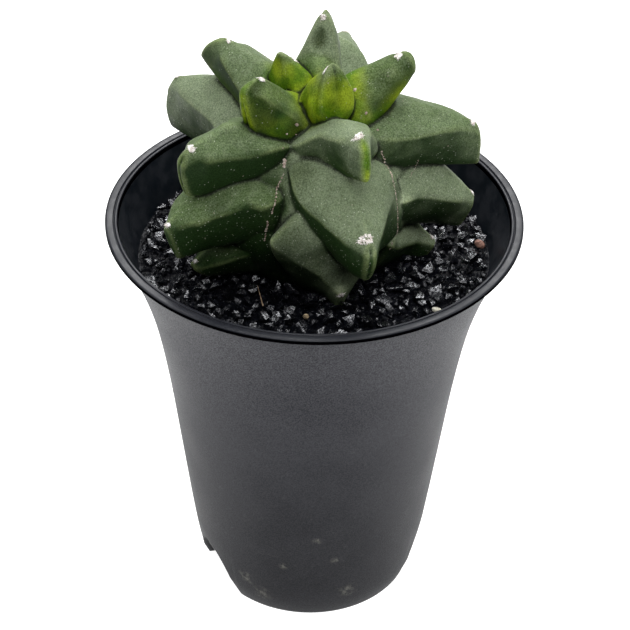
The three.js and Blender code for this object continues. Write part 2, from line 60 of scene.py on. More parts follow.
# The plant's form, with the numbers of the CAD source; only the buried root ends a little differently
PLANT_AXIS = (-1.0, 0.0)
RIB_AZIMUTHS = (286, 2, 74, 146, 214)
FURROW_AZIMUTHS = (250, 324, 38, 110, 180)
BODY_CURVE = [
    (0, 126.5), (5, 125.6), (9, 123.8), (12.3, 121.3), (14.8, 118.2), (16.8, 115), (18.3, 111), (19.4, 106),
    (19.6, 101), (18, 96), (14.8, 91), (12.4, 87), (9.5, 83.5), (0, 82),
]
RIB_SWELL = 2.4
ROOT_CURVE = [(7.5, 84), (6.5, 76), (4.2, 66), (2.2, 58), (0.3, 57)]

# What a tubercle has where its row below doesn't say otherwise
USUAL_TUBERCLE = dict(keel_width=1.8, tip=(1.4, 1.2, 0.2), soft=0, lime=(0, 0, 0))


def tubercle(**own):
    return {**USUAL_TUBERCLE, **own}


# Each tubercle in the upright plane of its rib; pairs are (radius, height). A corner is (radius, across,
# height), and a mid is (across, height), then its lower width where that is special. soft counts the passes
# that round its cross-sections. lime says how yellow-green it is: all over, along its keel, and about its
# foot and root; a negative second number takes lime off its outer upper part. frost says how pale its bloom
# is all over and how much more about its foot, and its third number adds painted light round its sides,
# which turns to painted shade where it is negative. tuft is the length of its wool.
TUBERCLES = {
    "front_1": tubercle(az=300, root=(-1.5, 127), crest=(3, 133.2), areole=(6.2, 136.9),
        nose=(8.4, 137.4), keel=(11.2, 125.6), under=(5, 118), foot=118, shoulder=(1.6, 2.9, 3.6),
        keel_width=4.6, tip=(1.4, 4.3, 0.14), side=dict(corner=(4, 5, 127.4), mid=(4.9, 128.2), flank=5.4),
        other=dict(corner=(4, 5.2, 127), mid=(5, 128), flank=5.4), soft=2, lime=(0.9, -0.8, 0),
        frost=(0.3, 0.3, 0.2), tuft=2),
    "front_2": tubercle(az=294, root=(1, 122.4), crest=(15.5, 129.2), areole=(23.5, 130.5),
        nose=(26.6, 128.4), keel=(27.2, 121.5), under=(14, 117), foot=117, shoulder=(3, 3.6, 1.4),
        keel_width=1.7, tip=(1, 1, 0.2),
        side=dict(corner=(14.5, 7.9, 121.6), mid=(6, 126.2, 8.6), flank=5.4),
        other=dict(corner=(9.4, 8.5, 121.8), mid=(5.4, 126.6), flank=5.4), lime=(0.04, 0.9, 0.1),
        frost=(0.85, 0.9, 0.5), tuft=3),
    "front_3": tubercle(az=292, root=(2, 124), crest=(20, 120.4), areole=(31.5, 111),
        nose=(33.3, 106.5), keel=(31, 100.4), under=(18, 97.5), foot=99, shoulder=(4.5, 4.6, 3.8),
        keel_width=2.1, side=dict(corner=(14.5, 12.2, 114.5), mid=(10.6, 111.6, 12), flank=12.8),
        other=dict(corner=(15, 10.6, 118), mid=(9.6, 113.8), flank=6.5, lift=8), lime=(0, 0.05, 0),
        frost=(0.75, 0.5, 0.28), tuft=4.2),
    "front_4": tubercle(az=289, root=(15, 119), crest=(24, 109.5), areole=(21.4, 93.6),
        nose=(21.8, 91), keel=(19.8, 86), under=(12, 86), foot=99, shoulder=(5, 4.8, 2), keel_width=1.5,
        tip=(1, 0.8, 0.2), side=dict(corner=(18.6, 12.8, 104.5), mid=(9.5, 100.5, 6), flank=9),
        other=dict(corner=(18.6, 14.9, 105), mid=(10.7, 100.4, 5.6), flank=8), frost=(0.9, 0.6, 0.78),
        tuft=1.5),
    "left_1": tubercle(az=222, root=(-2, 125), crest=(6.5, 129.9), areole=(13.3, 136),
        nose=(18.3, 134.8), keel=(15.4, 122.6), under=(9, 114), foot=114, shoulder=(2.6, 4.2, 2.4),
        keel_width=2.8, tip=(1.5, 2.2, 0.3), side=dict(corner=(5, 7.2, 123.5), mid=(6.6, 124.8), flank=7),
        lime=(0.2, 0.7, 0.75), frost=(-0.3, 0.5, 0), tuft=2.2),
    "left_2": tubercle(az=218, root=(1, 117.6), crest=(20.5, 127.2), areole=(30.3, 125.2),
        nose=(33.3, 121), keel=(31, 113.7), under=(17, 111.5), foot=115, shoulder=(3.2, 4.2, 2.6),
        side=dict(corner=(13.2, 7.4, 122.5), mid=(6.2, 122), flank=4.4), lime=(0, 0.2, 0),
        frost=(0.12, 0.3, 0.05), tuft=1.7),
    "left_3": tubercle(az=218, root=(3, 119), crest=(24.5, 115.2), areole=(36.8, 109.2),
        nose=(36, 105.4), keel=(33.9, 99.6), under=(18, 99), foot=102, shoulder=(5, 4.8, 1.4),
        side=dict(corner=(18.4, 11.2, 112.8), mid=(8, 112.2), flank=7.5), lime=(0, 0.1, 0),
        frost=(0, 0, 0), tuft=0.8),
    "left_4": tubercle(az=212, root=(4, 107), crest=(19, 101.5), areole=(28.5, 94.5),
        nose=(28.4, 92.6), keel=(25.4, 90.2), under=(12, 87.5), foot=93, shoulder=(4, 4, 1.8),
        side=dict(corner=(16, 10, 99.5)), frost=(0, 0, -0.3), tuft=0.6),
    "right_1": tubercle(az=4, root=(1, 127), crest=(10.4, 132.6), areole=(17.5, 135.9),
        nose=(21, 134.4), keel=(20.6, 131), under=(12, 117), foot=115, shoulder=(2.5, 4, 2.2),
        keel_width=2.8, tip=(1.5, 1.9, 0.35), side=dict(corner=(8, 7.8, 123.5), mid=(7.2, 126), flank=7),
        soft=1, lime=(0.12, 0.25, 0.75), frost=(0, 1.2, 0.2), tuft=2.1),
    "right_2": tubercle(az=2, root=(1, 122.5), crest=(20, 125), areole=(33.9, 120.2),
        nose=(35.4, 116.5), keel=(35, 109.9), under=(17, 110), foot=112, shoulder=(6, 4.8, 1.2),
        keel_width=1.9, side=dict(corner=(13.6, 9.8, 122.3), mid=(8.6, 121.3), flank=7.4),
        lime=(0, 0.2, 0), frost=(0.2, 1, 0.6), tuft=1.4),
    "right_3": tubercle(az=2, root=(3, 118), crest=(26, 111.8), areole=(34.7, 102.3),
        nose=(34.4, 98.5), keel=(31.8, 94), under=(18, 96.5), foot=99, shoulder=(4, 4.4, 2),
        side=dict(corner=(17.4, 12.3, 108.2), mid=(8.4, 106.6), flank=8), lime=(0, 0.1, 0),
        frost=(0.8, 1.5, 0.65), tuft=1),
    "right_4": tubercle(az=2, root=(5, 107), crest=(20, 98), areole=(26.8, 90.5), nose=(26.9, 89.3),
        keel=(25, 86), under=(12, 84), foot=90, shoulder=(4, 3.6, 1.8), side=dict(corner=(16, 12.5, 98)),
        frost=(1.2, 0, 0.4), tuft=1.2),
    "back_left_1": tubercle(az=150, root=(-3.5, 125.5), crest=(1, 131), areole=(4.7, 133.4),
        nose=(7.6, 134.7), keel=(9.5, 127), under=(2, 118), foot=118, shoulder=(1.5, 2.4, 2),
        keel_width=2.4, tip=(1.1, 1.5, 0.35),
        side=dict(corner=(0, 3.9, 126.4), mid=(3.8, 127.6), flank=3.9), lime=(1, -0.9, 0),
        frost=(0, 0, -0.2), tuft=2.2),
    "back_left_2": tubercle(az=146, root=(2, 124), crest=(12, 130), areole=(20.8, 132.2),
        nose=(25.5, 130.5), keel=(28, 126.1), under=(13, 115), foot=118, shoulder=(3, 4.4, 2.2),
        keel_width=1.7, side=dict(corner=(10.5, 8.5, 124)), lime=(0.06, 0.3, 0.35), frost=(0.3, 0, 0.1),
        tuft=1.5),
    "back_left_3": tubercle(az=146, root=(3, 126), crest=(21, 123.6), areole=(35.1, 118.9),
        nose=(37.8, 113), keel=(36.4, 105.4), under=(18, 103), foot=108, shoulder=(5, 4.6, 2.2),
        side=dict(corner=(14.5, 10.5, 117)), lime=(0, 0.1, 0), frost=(0.95, 1.2, 0.6), tuft=1.4),
    "back_left_4": tubercle(az=147, root=(4, 114), crest=(22, 106), areole=(33.5, 99.5), nose=(34, 96),
        keel=(31.5, 91.5), under=(14, 88), foot=94, shoulder=(5, 4.4, 1.8),
        side=dict(corner=(16.5, 12, 104)), frost=(0.8, 0, 0.2), tuft=1.4),
    "back_1": tubercle(az=71, root=(-1.5, 126), crest=(3.5, 135), areole=(7, 142.4), nose=(8.8, 141.2),
        keel=(13.5, 129), under=(6, 117), foot=117, shoulder=(1.8, 2.2, 1.6), keel_width=2.4,
        tip=(1.1, 1.6, 0.3), side=dict(corner=(4, 7.2, 127.5), flank=6),
        other=dict(corner=(4, 6.3, 127.5), flank=6), soft=1, lime=(0.1, 0.1, 0.4), frost=(1.15, 0.8, 0.4),
        tuft=1.4),
    "back_2": tubercle(az=75, root=(2, 122), crest=(17.5, 130.6), areole=(26.5, 127.1),
        nose=(29.5, 122.8), keel=(29.5, 114.5), under=(15, 112), foot=117, shoulder=(4, 3.8, 2),
        side=dict(corner=(12, 9, 122)), other=dict(corner=(12, 10, 122)), soft=1, lime=(0, 0.2, 0),
        frost=(0.75, 0.3, 0.3), tuft=1.6),
    "back_3": tubercle(az=74, root=(3, 124), crest=(23, 118), areole=(35, 111.5), nose=(36.8, 107),
        keel=(34.5, 100), under=(18, 99), foot=104, shoulder=(5, 4.8, 2),
        side=dict(corner=(15.5, 11.5, 113)), lime=(0, 0.1, 0), frost=(0.8, 0, 0.2), tuft=1.5),
    "back_4": tubercle(az=73, root=(5, 109), crest=(20, 102), areole=(29.5, 94.5), nose=(30, 92),
        keel=(27.5, 88.5), under=(12, 86), foot=91, shoulder=(4, 4, 1.8), side=dict(corner=(16, 12, 99.5)),
        frost=(0.8, 0, 0.2), tuft=1.3),
}
# Rings from one station of a tubercle to the next, and how close to a ridge its points are doubled
LOFT_STEPS = 6
RIDGE_ROUNDING = 0.7
# The share of its lost reach that a rounded ring gets back
REACH = 0.85
# The rings that close a tubercle: how wide each is, and its share of the bulge, which widens with the keel
END_STEPS = ((0.96, 0.28), (0.84, 0.56), (0.6, 0.82), (0.3, 0.97))
END_BULGE = 0.45
# The skin's voxels in millimetres, its rounds of smoothing and the triangles that it keeps
VOXEL = 0.3
SMOOTHING_ROUNDS = 3
FLESH_TRIANGLES = 190000

# Shallow dents and patches that the photograph shows on the skin, by its pixels: radius and depth in
# millimetres, and how much darker the skin is painted there, negative where it is painted paler; this is
# partly the skin's own tone and partly painted shade and painted light
DENTS_AND_PAINTED_SHADE = [
    (318, 43, 2.4, 0.9, 1.1), (321, 34, 1.8, 0.4, 0.6), (300, 172, 5.5, 0.3, 0.85),
    (318, 262, 5.0, 0.2, 0.3), (262, 80, 3.0, 0.1, 0.35), (216, 214, 3.4, 0.5, 0.35),
    (410, 185, 2.6, 0.45, 0.1), (428, 172, 2.4, 0.35, 0.1), (440, 116, 3.2, 0.45, 0.25),
    (381, 84, 2.8, 0.4, 0.35), (204, 96, 3.4, 0.4, 0.1), (352, 205, 3.2, 0.35, 0.2),
    (256, 91, 2.6, 0.2, 0.75), (336, 88, 2.2, 0.15, 0.55), (286, 234, 5.5, 0.1, 0.65),
    (335, 103, 2.4, 0.0, 0.6), (285, 121, 2.8, 0.0, -0.9), (293, 106, 2.0, 0.0, -0.5),
    (310, 101, 1.7, 0.0, -0.6), (372, 117, 2.6, 0.0, -0.6), (338, 292, 2.6, 0.0, -1.0),
    (190, 110, 3.4, 0.0, -0.3), (404, 204, 3.2, 0.0, -0.6), (375, 258, 2.8, 0.0, -0.5),
    (320, 61, 2.6, 0.0, -0.6), (362, 104, 2.0, 0.0, -0.25), (404, 66, 3.4, 0.0, 0.3),
    (216, 200, 4.5, 0.0, 0.2),
]
# Where the photograph shows each tuft, by its pixels; the others sit on their areoles
TUFT_SPOTS = {
    "back_1": (323, 17), "back_left_1": (295, 60), "front_1": (326, 69), "left_1": (261, 77),
    "right_1": (398, 55), "left_2": (191, 148), "front_2": (359, 136), "right_2": (473, 122),
    "left_3": (167.5, 225), "front_3": (367, 239), "right_3": (472, 192), "front_4": (341, 295),
    "left_4": (195, 261),
}
# Pinhead dots that the photograph shows on the skin, by its pixels, with their radius in millimetres
DOTS = [
    (355, 90, 0.3), (366, 113, 0.36), (377.6, 130, 0.3), (297, 124.5, 0.4), (287, 134, 0.22),
    (296, 134.5, 0.22), (328, 83, 0.13), (388, 76, 0.12), (361, 118, 0.1), (403, 101, 0.12),
    (283, 148, 0.14), (232, 196, 0.08), (243, 176, 0.08), (300, 186, 0.08), (352, 205, 0.08),
    (214, 213, 0.09), (340, 216, 0.08), (448, 146, 0.1), (419, 190, 0.08), (286, 227, 0.09),
    (318, 262, 0.08), (205, 238, 0.09), (335, 180, 0.07),
]
# Corky crusts: grain radius and spacing in millimetres, then the photograph's pixels that they follow
CRUSTS = [
    (0.38, 0.75, [(285, 160), (284.5, 166), (284, 171)]),
    (0.18, 0.34, [(283.5, 174), (280, 182), (277, 189), (275.5, 198), (274, 206), (271, 214)]),
    (0.2, 0.42, [(268.5, 221), (267, 228), (265.5, 235), (264, 242)]),
    (0.17, 0.34, [(381, 152), (384, 158), (387, 166), (390, 172), (392.5, 179), (395, 189), (396.5, 200)]),
    (0.17, 0.36, [(396.5, 200), (397.5, 212), (397.5, 224), (396.5, 234), (392.5, 243), (388.5, 250)]),
    (0.09, 0.22, [(418, 160), (416.5, 165), (415, 169), (412, 174), (409.5, 178)]),
]
# Grains in each furrow that the photograph doesn't show, and how high they lie
BACK_FURROWS = FURROW_AZIMUTHS[2:]
BACK_FURROW_GRAINS = 46
BACK_FURROW_HEIGHTS = (92, 121)

# The pot, with the numbers of the CAD source; only its lip has more points
POT_HEIGHT = 97
RIM_RADIUS = 45
WALL = 1.2
FLOOR_UNDERSIDE = 13
FLOOR_TOP = 14.5
MIDDLE_DRAIN_RADIUS = 4.0
DRAIN_RADIUS = 2.5
DRAIN_RING_RADIUS = 14
DRAIN_COUNT = 6
WALL_CURVE = [
    (0, 24.3), (5, 26.0), (15, 27.6), (35, 30.0), (55, 32.4), (70, 34.8), (80, 37.3), (88, 40.1), (93, 42.2),
]
# The lip round its outer edge, over its flat top with a fine groove and down its inner edge: how far inside
# the rim and how far under the top each point lies. The wall's two sides end under it.
LIP_CURVE = [
    (1.5, 1.12), (1.1, 1.08), (0.3, 1.08), (0.1, 1.0), (0, 0.82), (0, 0.3), (0.07, 0.12), (0.25, 0.03),
    (0.5, 0), (1.55, 0), (1.7, 0.03), (1.8, 0.14), (1.85, 0.34), (1.95, 0.34), (2.0, 0.14), (2.1, 0.06),
    (2.4, 0.06), (2.58, 0.12), (2.67, 0.25), (2.72, 0.6),
]
WALL_END_OUTSIDE = (1.7, 1.3)
WALL_END_INSIDE = (2.85, 1.2)
ARCH_AZIMUTHS = (210, 350, 100)
ARCH_HALF_WIDTH = 8.2
ARCH_HEIGHT = 12.3
ARCH_POWER = 2.2
# The arches are cut at this radius, and above this height the wall is whole
SKIRT_RADIUS = 24.8
SKIRT_TOP = 20
POT_COLUMNS = 360
# Pale lime stains low on the wall, by the photograph's pixels, with their radius in millimetres
STAIN_SPOTS = [
    (246, 577, 2.8), (262, 593, 3.2), (348, 590, 3.0), (317, 541, 1.6), (335, 560, 1.4), (283, 566, 1.5),
]

# The grit
GRIT_RADIUS = 38.3
GRIT_BED_TOP = 86.6
GRIT_BOTTOM = 84.85
GRIT_HOLE_RADIUS = 9.0
BED_COLUMNS = 96
BED_ROWS = 14
GRAIN_SHAPES = 40
# Layers of grains from the top down: tries, share of its size that a grain keeps clear, sizes, mean height
GRIT_LAYERS = [
    (16000, 0.78, (1.1, 1.25, 1.4, 1.55, 1.75, 1.95, 2.2), 88.15),
    (12000, 0.7, (0.65, 0.8, 0.95), 87.2),
    (9000, 0.8, (0.9, 1.1, 1.3), 86.6),
]
# Where the small stray bits lie, as x, y and a clear radius
STRAY_SPOTS = [
    (36.2, 1.4, 1.2), (26, -22.6, 1.0), (-1.4, -25.6, 0.15), (-11.7, -17.8, 0.3), (-11.0, -19.8, 0.3),
    (-10.4, -21.6, 0.3),
]
# The straw splinter from its lower to its upper end
STRAW_ROUTE = [(-10.4, -21.8, 88.1), (-10.75, -20.6, 88.65), (-11.15, -19.4, 89.3), (-11.7, -17.6, 90.2)]

# The dull materials' dark and light colour, and the size of their mottle in millimetres
DULL_TONES = {
    "potting_mix": ((0.012, 0.008, 0.005), (0.07, 0.045, 0.03), 2.0),
    "brown_stone": ((0.11, 0.05, 0.035), (0.3, 0.16, 0.12), 0.7),
    "pale_chip": ((0.45, 0.42, 0.33), (0.72, 0.7, 0.6), 0.5),
    "pale_grain": ((0.08, 0.055, 0.03), (0.42, 0.32, 0.19), 0.8),
    "straw": ((0.12, 0.075, 0.04), (0.3, 0.22, 0.14), 0.5),
}

# The studio in metres: its lamps' places and watts; all are discs aimed at the plant
LAMPS = {
    "top_softbox": ((0, 0, 1.3), 9),
    "back_softbox": ((0, 0.9, 0.95), 18),
    "right_softbox": ((0.9, 0, 0.95), 7),
    "left_softbox": ((-0.9, 0, 0.95), 4.5),
    "front_softbox": ((0.1, -0.7, 1.15), 8),
}
LAMP_SIZE = 0.7
LAMP_AIM = Vector((0, 0, 0.1))
STUDIO_HALF = 4
WORLD_STRENGTH = 0.05
SENSOR_WIDTH = 36


# Curves, rings and meshes


def catmull_rom(rows, steps):
    """Rows of values with smooth rows put between them, steps to each gap."""
    rows = np.asarray(rows, float)
    out = []
    for i in range(len(rows) - 1):
        before, here = rows[max(i - 1, 0)], rows[i]
        after, beyond = rows[i + 1], rows[min(i + 2, len(rows) - 1)]
        for k in range(steps):
            t = k / steps
            out.append(0.5 * (2 * here + (after - before) * t
                              + (2 * before - 5 * here + 4 * after - beyond) * t**2
                              + (3 * here - before - 3 * after + beyond) * t**3))
    out.append(rows[-1])
    return np.array(out)


def round_ring(ring, passes):
    """A closed ring with its corners averaged passes times and then cut twice."""
    for _ in range(passes):
        ring = 0.25 * np.roll(ring, 1, 0) + 0.5 * ring + 0.25 * np.roll(ring, -1, 0)
    for _ in range(2):
        following = np.roll(ring, -1, 0)
        cut = np.stack([0.75 * ring + 0.25 * following, 0.25 * ring + 0.75 * following], 1)
        ring = cut.reshape(-1, ring.shape[1])
    return ring


def lerp(a, b, t):
    return np.asarray(a, float) * (1 - t) + np.asarray(b, float) * t


def sharpen(profile, corner):
    """Puts points close to a profile's corner on both sides, so that rounding leaves it narrow."""
    here, before, after = (np.array(profile[k]) for k in (corner, corner - 1, corner + 1))
    near = [lerp(here, other, min(0.45, RIDGE_ROUNDING / max(np.linalg.norm((here - other)[:3]), 0.01)))
            for other in (before, after)]
    return profile[:corner] + [tuple(near[0]), profile[corner], tuple(near[1])] + profile[corner + 1:]


def tubercle_rings(tub):
    """The rings of one tubercle from the body out to its keel, in millimetres."""
    areole, nose, keel = (np.array(tub[k], float) for k in ("areole", "nose", "keel"))
    root, crest, under, keel_width = tub["root"], tub["crest"], tub["under"], tub["keel_width"]
    sides = (tub["side"], tub.get("other", tub["side"]))
    back, shoulder_width, shoulder_drop = tub["shoulder"]
    tip_width, tip_flank, tip_ridge = tub["tip"]
    low = (min(root[0] + 1, under[0]), tub["foot"])

    def top(t):
        return lerp(root, crest, t / 0.5) if t <= 0.5 else lerp(crest, areole, (t - 0.5) / 0.5)

    def bottom(t):
        return lerp(low, under, t / 0.5) if t <= 0.5 else lerp(under, keel, (t - 0.5) / 0.5)

    corner_radius = 0.5 * (sides[0]["corner"][0] + sides[1]["corner"][0])
    corner_at = float(np.clip(0.5 * (corner_radius - root[0]) / (crest[0] - root[0]), 0.12, 0.42))
    shoulder_at = 0.5 + 0.5 * max(0.15, 1 - back / math.dist(areole, crest))
    halfway, last = 0.5 * (0.5 + shoulder_at), 0.5 * (shoulder_at + 1)
    stations = (0, corner_at, 0.5, halfway, shoulder_at, last, 1)

    def rows_along(side):
        _, width, height = side["corner"]
        flank = side.get("flank", 0.6 * width)
        mid = side.get("mid", (0.85 * width, 0.5 * (height + crest[1] - 0.425 * width)))
        mid_width, mid_height, mid_flank = mid if len(mid) > 2 else (*mid, 0.75 * flank)
        shoulder_height = top(shoulder_at)[1] - shoulder_drop
        return [
            (0.6 * width, height, 0.6 * flank),
            (width, height, flank),
            (mid_width, mid_height, mid_flank),
            (0.5 * (mid_width + shoulder_width), 0.5 * (mid_height + shoulder_height),
             0.4 * mid_flank + 0.6 * keel_width),
            (shoulder_width, shoulder_height, 1.1 * keel_width),
            (0.62 * shoulder_width, top(last)[1] - 0.85 * shoulder_drop, keel_width),
            (tip_width, areole[1] - tip_ridge * (areole[1] - keel[1]), tip_flank),
        ]

    rows = [rows_along(side) for side in sides]
    chord = keel - areole
    nose_at = float(np.clip(np.dot(nose - areole, chord) / np.dot(chord, chord), 0.08, 0.9))
    bow = nose - lerp(areole, keel, nose_at)

    def side_profile(i, which):
        high, deep = top(stations[i]), bottom(stations[i])
        width, ridge_height, under_width = rows[which][i]
        ridge = float(np.clip((high[1] - ridge_height) / (high[1] - deep[1]), 0.06, 0.72))
        ridge_point = lerp(high, deep, ridge)
        if i == 1:
            ridge_point = np.array((sides[which]["corner"][0], min(ridge_height, high[1] - 0.3)))
        edge = deep + np.array((0, sides[which].get("lift", 0) * max(0, 1 - stations[i] / 0.8)))
        outline = [
            (0.5 * width, 0.44 * ridge), (0.88 * width, 0.86 * ridge), (width, ridge + 0.05 * (1 - ridge)),
            (0.57 * (width + under_width), 0.5 + 0.5 * ridge), (under_width, 0.95),
        ]
        out = []
        for across, f in outline:
            if f <= ridge:
                place = lerp(high, ridge_point, f / ridge)
            else:
                place = lerp(ridge_point, edge, (f - ridge) / (1 - ridge))
            out.append((across, *place, f))
        return out if tub["soft"] else sharpen(out, 2)

    azimuth = math.radians(tub["az"])
    outward_way = np.array([math.cos(azimuth), math.sin(azimuth)])
    side_way = np.array([-math.sin(azimuth), math.cos(azimuth)])
    rings = []
    for i, t in enumerate(stations):
        other = [(-across, r, z, f) for across, r, z, f in reversed(side_profile(i, 1))]
        reach = max(0, (t - 0.5) / 0.5) ** 1.5
        ring = []
        for across, r, z, f in [(0, *top(t), 0)] + side_profile(i, 0) + [(0, *bottom(t), 1)] + other:
            rise = f / nose_at if f < nose_at else (1 - f) / (1 - nose_at)
            r, z = np.array((r, z)) + bow * reach * max(rise, 0) ** 0.8
            ring.append((across, r, z, f))
        across, r, z, f = full_reach(np.array(ring), round_ring(np.array(ring), tub["soft"])).T
        x, y = outward_way[:, None] * r + side_way[:, None] * across
        rings.append(np.stack([PLANT_AXIS[0] + x, PLANT_AXIS[1] + y, z, f], 1))
    rings = catmull_rom(rings, LOFT_STEPS)
    return np.concatenate([rings, rounded_end(rings, azimuth)])


def full_reach(sharp, rounded):
    """Spreads a rounded ring of across, radius, height, share so that it reaches as far as the sharp one."""
    out = rounded.copy()
    for sign in (1, -1):
        on_side = sign * rounded[:, 0] > 0
        gain = (sign * sharp[:, 0]).max() / (sign * rounded[:, 0]).max()
        out[on_side, 0] *= 1 + REACH * (gain - 1)
    top, bottom = sharp[np.argmin(sharp[:, 3]), 1:3], sharp[np.argmax(sharp[:, 3]), 1:3]
    down = bottom - top
    share = (rounded[:, 1:3] - top) @ down / (down @ down)
    spread = (share - share.min()) / (share.max() - share.min())
    out[:, 1:3] += REACH * (spread - share)[:, None] * down
    return out


def rounded_end(rings, azimuth):
    """Rings beyond the last, ever narrower and a little further out, so that the keel is round."""
    last = rings[-1]
    middle = last[:, :3].mean(0)
    ahead = middle - rings[-3][:, :3].mean(0)
    ahead /= np.linalg.norm(ahead)
    side_way = np.array([-math.sin(azimuth), math.cos(azimuth), 0])
    across = (last[:, :3] - middle) @ side_way
    bulge = END_BULGE * abs(across).max() ** 0.75
    out = []
    for width, share in END_STEPS:
        ring = last.copy()
        ring[:, :3] += (width - 1) * across[:, None] * side_way + 0.05 * share * (middle - last[:, :3])
        ring[:, :3] += share * bulge * ahead
        out.append(ring)
    return np.array(out)


def body_rings():
    """The rings of the ribbed body and of the tap root under it, in millimetres."""
    sides = 120
    azimuths = np.arange(sides) * 360 / sides + 2
    off_rib = np.min([np.abs((azimuths - rib + 180) % 360 - 180) for rib in RIB_AZIMUTHS], 0)
    rounding = 1 - np.minimum(1, off_rib / 36) ** 2
    angles = np.radians(azimuths)

    def rings(curve, swell_by):
        out = []
        for radius, height in catmull_rom(curve, 3):
            r = max(0.05, radius) + swell_by * min(max((radius - 8) / 8, 0), 1) * rounding
            out.append(np.stack([PLANT_AXIS[0] + r * np.cos(angles), PLANT_AXIS[1] + r * np.sin(angles),
                                 np.full(sides, height)], 1))
        return np.array(out)

    return rings(BODY_CURVE, RIB_SWELL), rings([(7.5, 90)] + ROOT_CURVE, 0)


def skin_faces(rows, count, offset):
    """Quads between rings and a fan at either end; two centre points follow the rings."""
    faces = []
    for i in range(rows - 1):
        for j in range(count):
            a, b = offset + i * count + j, offset + i * count + (j + 1) % count
            faces.append((a, a + count, b + count, b))
    first, last = offset + rows * count, offset + (rows - 1) * count
    for j in range(count):
        faces.append((first, offset + j, offset + (j + 1) % count))
        faces.append((first + 1, last + (j + 1) % count, last + j))
    return faces


def closed_quads(columns, rows):
    """Quads between columns of points that close on themselves, both round the columns and along each."""
    faces = []
    for k in range(columns):
        this, following = k * rows, ((k + 1) % columns) * rows
        for i in range(rows):
            j = (i + 1) % rows
            faces.append((this + i, this + j, following + j, following + i))
    return faces


def mesh_object(name, points, faces, scale=MM):
    """A linked mesh object from points in millimetres, or in metres at scale 1."""
    mesh = bpy.data.meshes.new(name)
    mesh.from_pydata((np.asarray(points, float) * scale).tolist(), [], [tuple(f) for f in faces])
    mesh.update()
    obj = bpy.data.objects.new(name, mesh)
    bpy.context.scene.collection.objects.link(obj)
    return obj


def outward(obj):
    """Turns all faces of a closed mesh outward."""
    work = bmesh.new()
    work.from_mesh(obj.data)
    bmesh.ops.recalc_face_normals(work, faces=work.faces)
    work.to_mesh(obj.data)
    work.free()


def read_rows(items, key, columns, kind=float):
    flat = np.empty(len(items) * columns, kind)
    items.foreach_get(key, flat)
    return flat.reshape(-1, columns)


def coordinates(mesh):
    return read_rows(mesh.vertices, "co", 3)


def normals(mesh):
    return read_rows(mesh.vertices, "normal", 3)


def edge_pairs(mesh):
    return read_rows(mesh.edges, "vertices", 2, np.int32)


def move_points(mesh, co):
    mesh.vertices.foreach_set("co", co.ravel())
    mesh.update()


def skin_tree(mesh):
    points = [tuple(p) for p in coordinates(mesh)]
    return BVHTree.FromPolygons(points, [tuple(f.vertices) for f in mesh.polygons])


def neighbour_mean(values, pairs):
    """Each vertex's mean over its neighbours, for one value or several columns."""
    count = len(values)
    degree = np.bincount(pairs.ravel(), minlength=count)
    columns = values.reshape(count, -1)
    out = np.empty_like(columns)
    for k in range(columns.shape[1]):
        column = columns[:, k]
        total = np.bincount(pairs[:, 0], column[pairs[:, 1]], count)
        total += np.bincount(pairs[:, 1], column[pairs[:, 0]], count)
        out[:, k] = total / np.maximum(degree, 1)
    return out.reshape(values.shape)


def smoothstep(low, high, x):
    t = np.clip((x - low) / (high - low), 0, 1)
    return t * t * (3 - 2 * t)


def store(mesh, name, values):
    attribute = mesh.attributes.new(name, "FLOAT", "POINT")
    attribute.data.foreach_set("value", np.ascontiguousarray(values, np.float32))


def camera_frame():
    """The camera's place in millimetres, and its right, up and forward directions."""
    forward = Vector((0, math.cos(TILT_DOWN), -math.sin(TILT_DOWN)))
    up = Vector((0, math.sin(TILT_DOWN), math.cos(TILT_DOWN)))
    right = Vector((1, 0, 0))
    c, s = math.cos(ROLL), math.sin(ROLL)
    return AIM - forward * CAMERA_DISTANCE, c * right + s * up, -s * right + c * up, forward


def seen_at(tree, x, y):
    """Where the photograph's pixel x, y falls on a surface: its point in metres and its normal."""
    place, right, up, forward = camera_frame()
    half = PICTURE / 2
    direction = (forward * FOCAL_PIXELS + right * (x - half) + up * (half - y)).normalized()
    point, normal, _, _ = tree.ray_cast(place * MM, direction)
    return point, normal


# The plant


def union_flesh():
    """One closed skin over the body, the tap root and all tubercles, and the tubercles' own rings."""
    points, faces = [], []
    shapes = {name: tubercle_rings(tub) for name, tub in TUBERCLES.items()}
    offset = 0
    for rings in [*body_rings(), *shapes.values()]:
        rows, count, _ = rings.shape
        places = rings[:, :, :3]
        points += [places.reshape(-1, 3), [places[0].mean(0), places[-1].mean(0)]]
        faces += skin_faces(rows, count, offset)
        offset += rows * count + 2
    obj = mesh_object("cactus_flesh", np.vstack(points), faces)
    outward(obj)
    remesh = obj.modifiers.new("skin", "REMESH")
    remesh.mode = "VOXEL"
    remesh.voxel_size = VOXEL * MM
    apply_modifiers(obj)
    return obj, shapes


def apply_modifiers(obj):
    bpy.context.view_layer.update()
    graph = bpy.context.evaluated_depsgraph_get()
    made = bpy.data.meshes.new_from_object(obj.evaluated_get(graph))
    obj.modifiers.clear()
    obj.data = made


def relax(mesh, rounds):
    """Smooths the skin's steps without shrinking it."""
    pairs = edge_pairs(mesh)
    co = coordinates(mesh)
    for _ in range(rounds):
        co += 0.5 * (neighbour_mean(co, pairs) - co)
        co -= 0.52 * (neighbour_mean(co, pairs) - co)
    move_points(mesh, co)


def add_relief(mesh):
    """Low swellings and fine unevenness of living skin."""
    co, normal = coordinates(mesh), normals(mesh)
    lift = np.empty(len(co))
    for i, p in enumerate(co):
        v = Vector(p)
        lift[i] = 0.16 * noise.noise(v * 150) + 0.07 * noise.noise(v * 420) + 0.02 * noise.noise(v * 1300)
    move_points(mesh, co + normal * (lift * MM)[:, None])


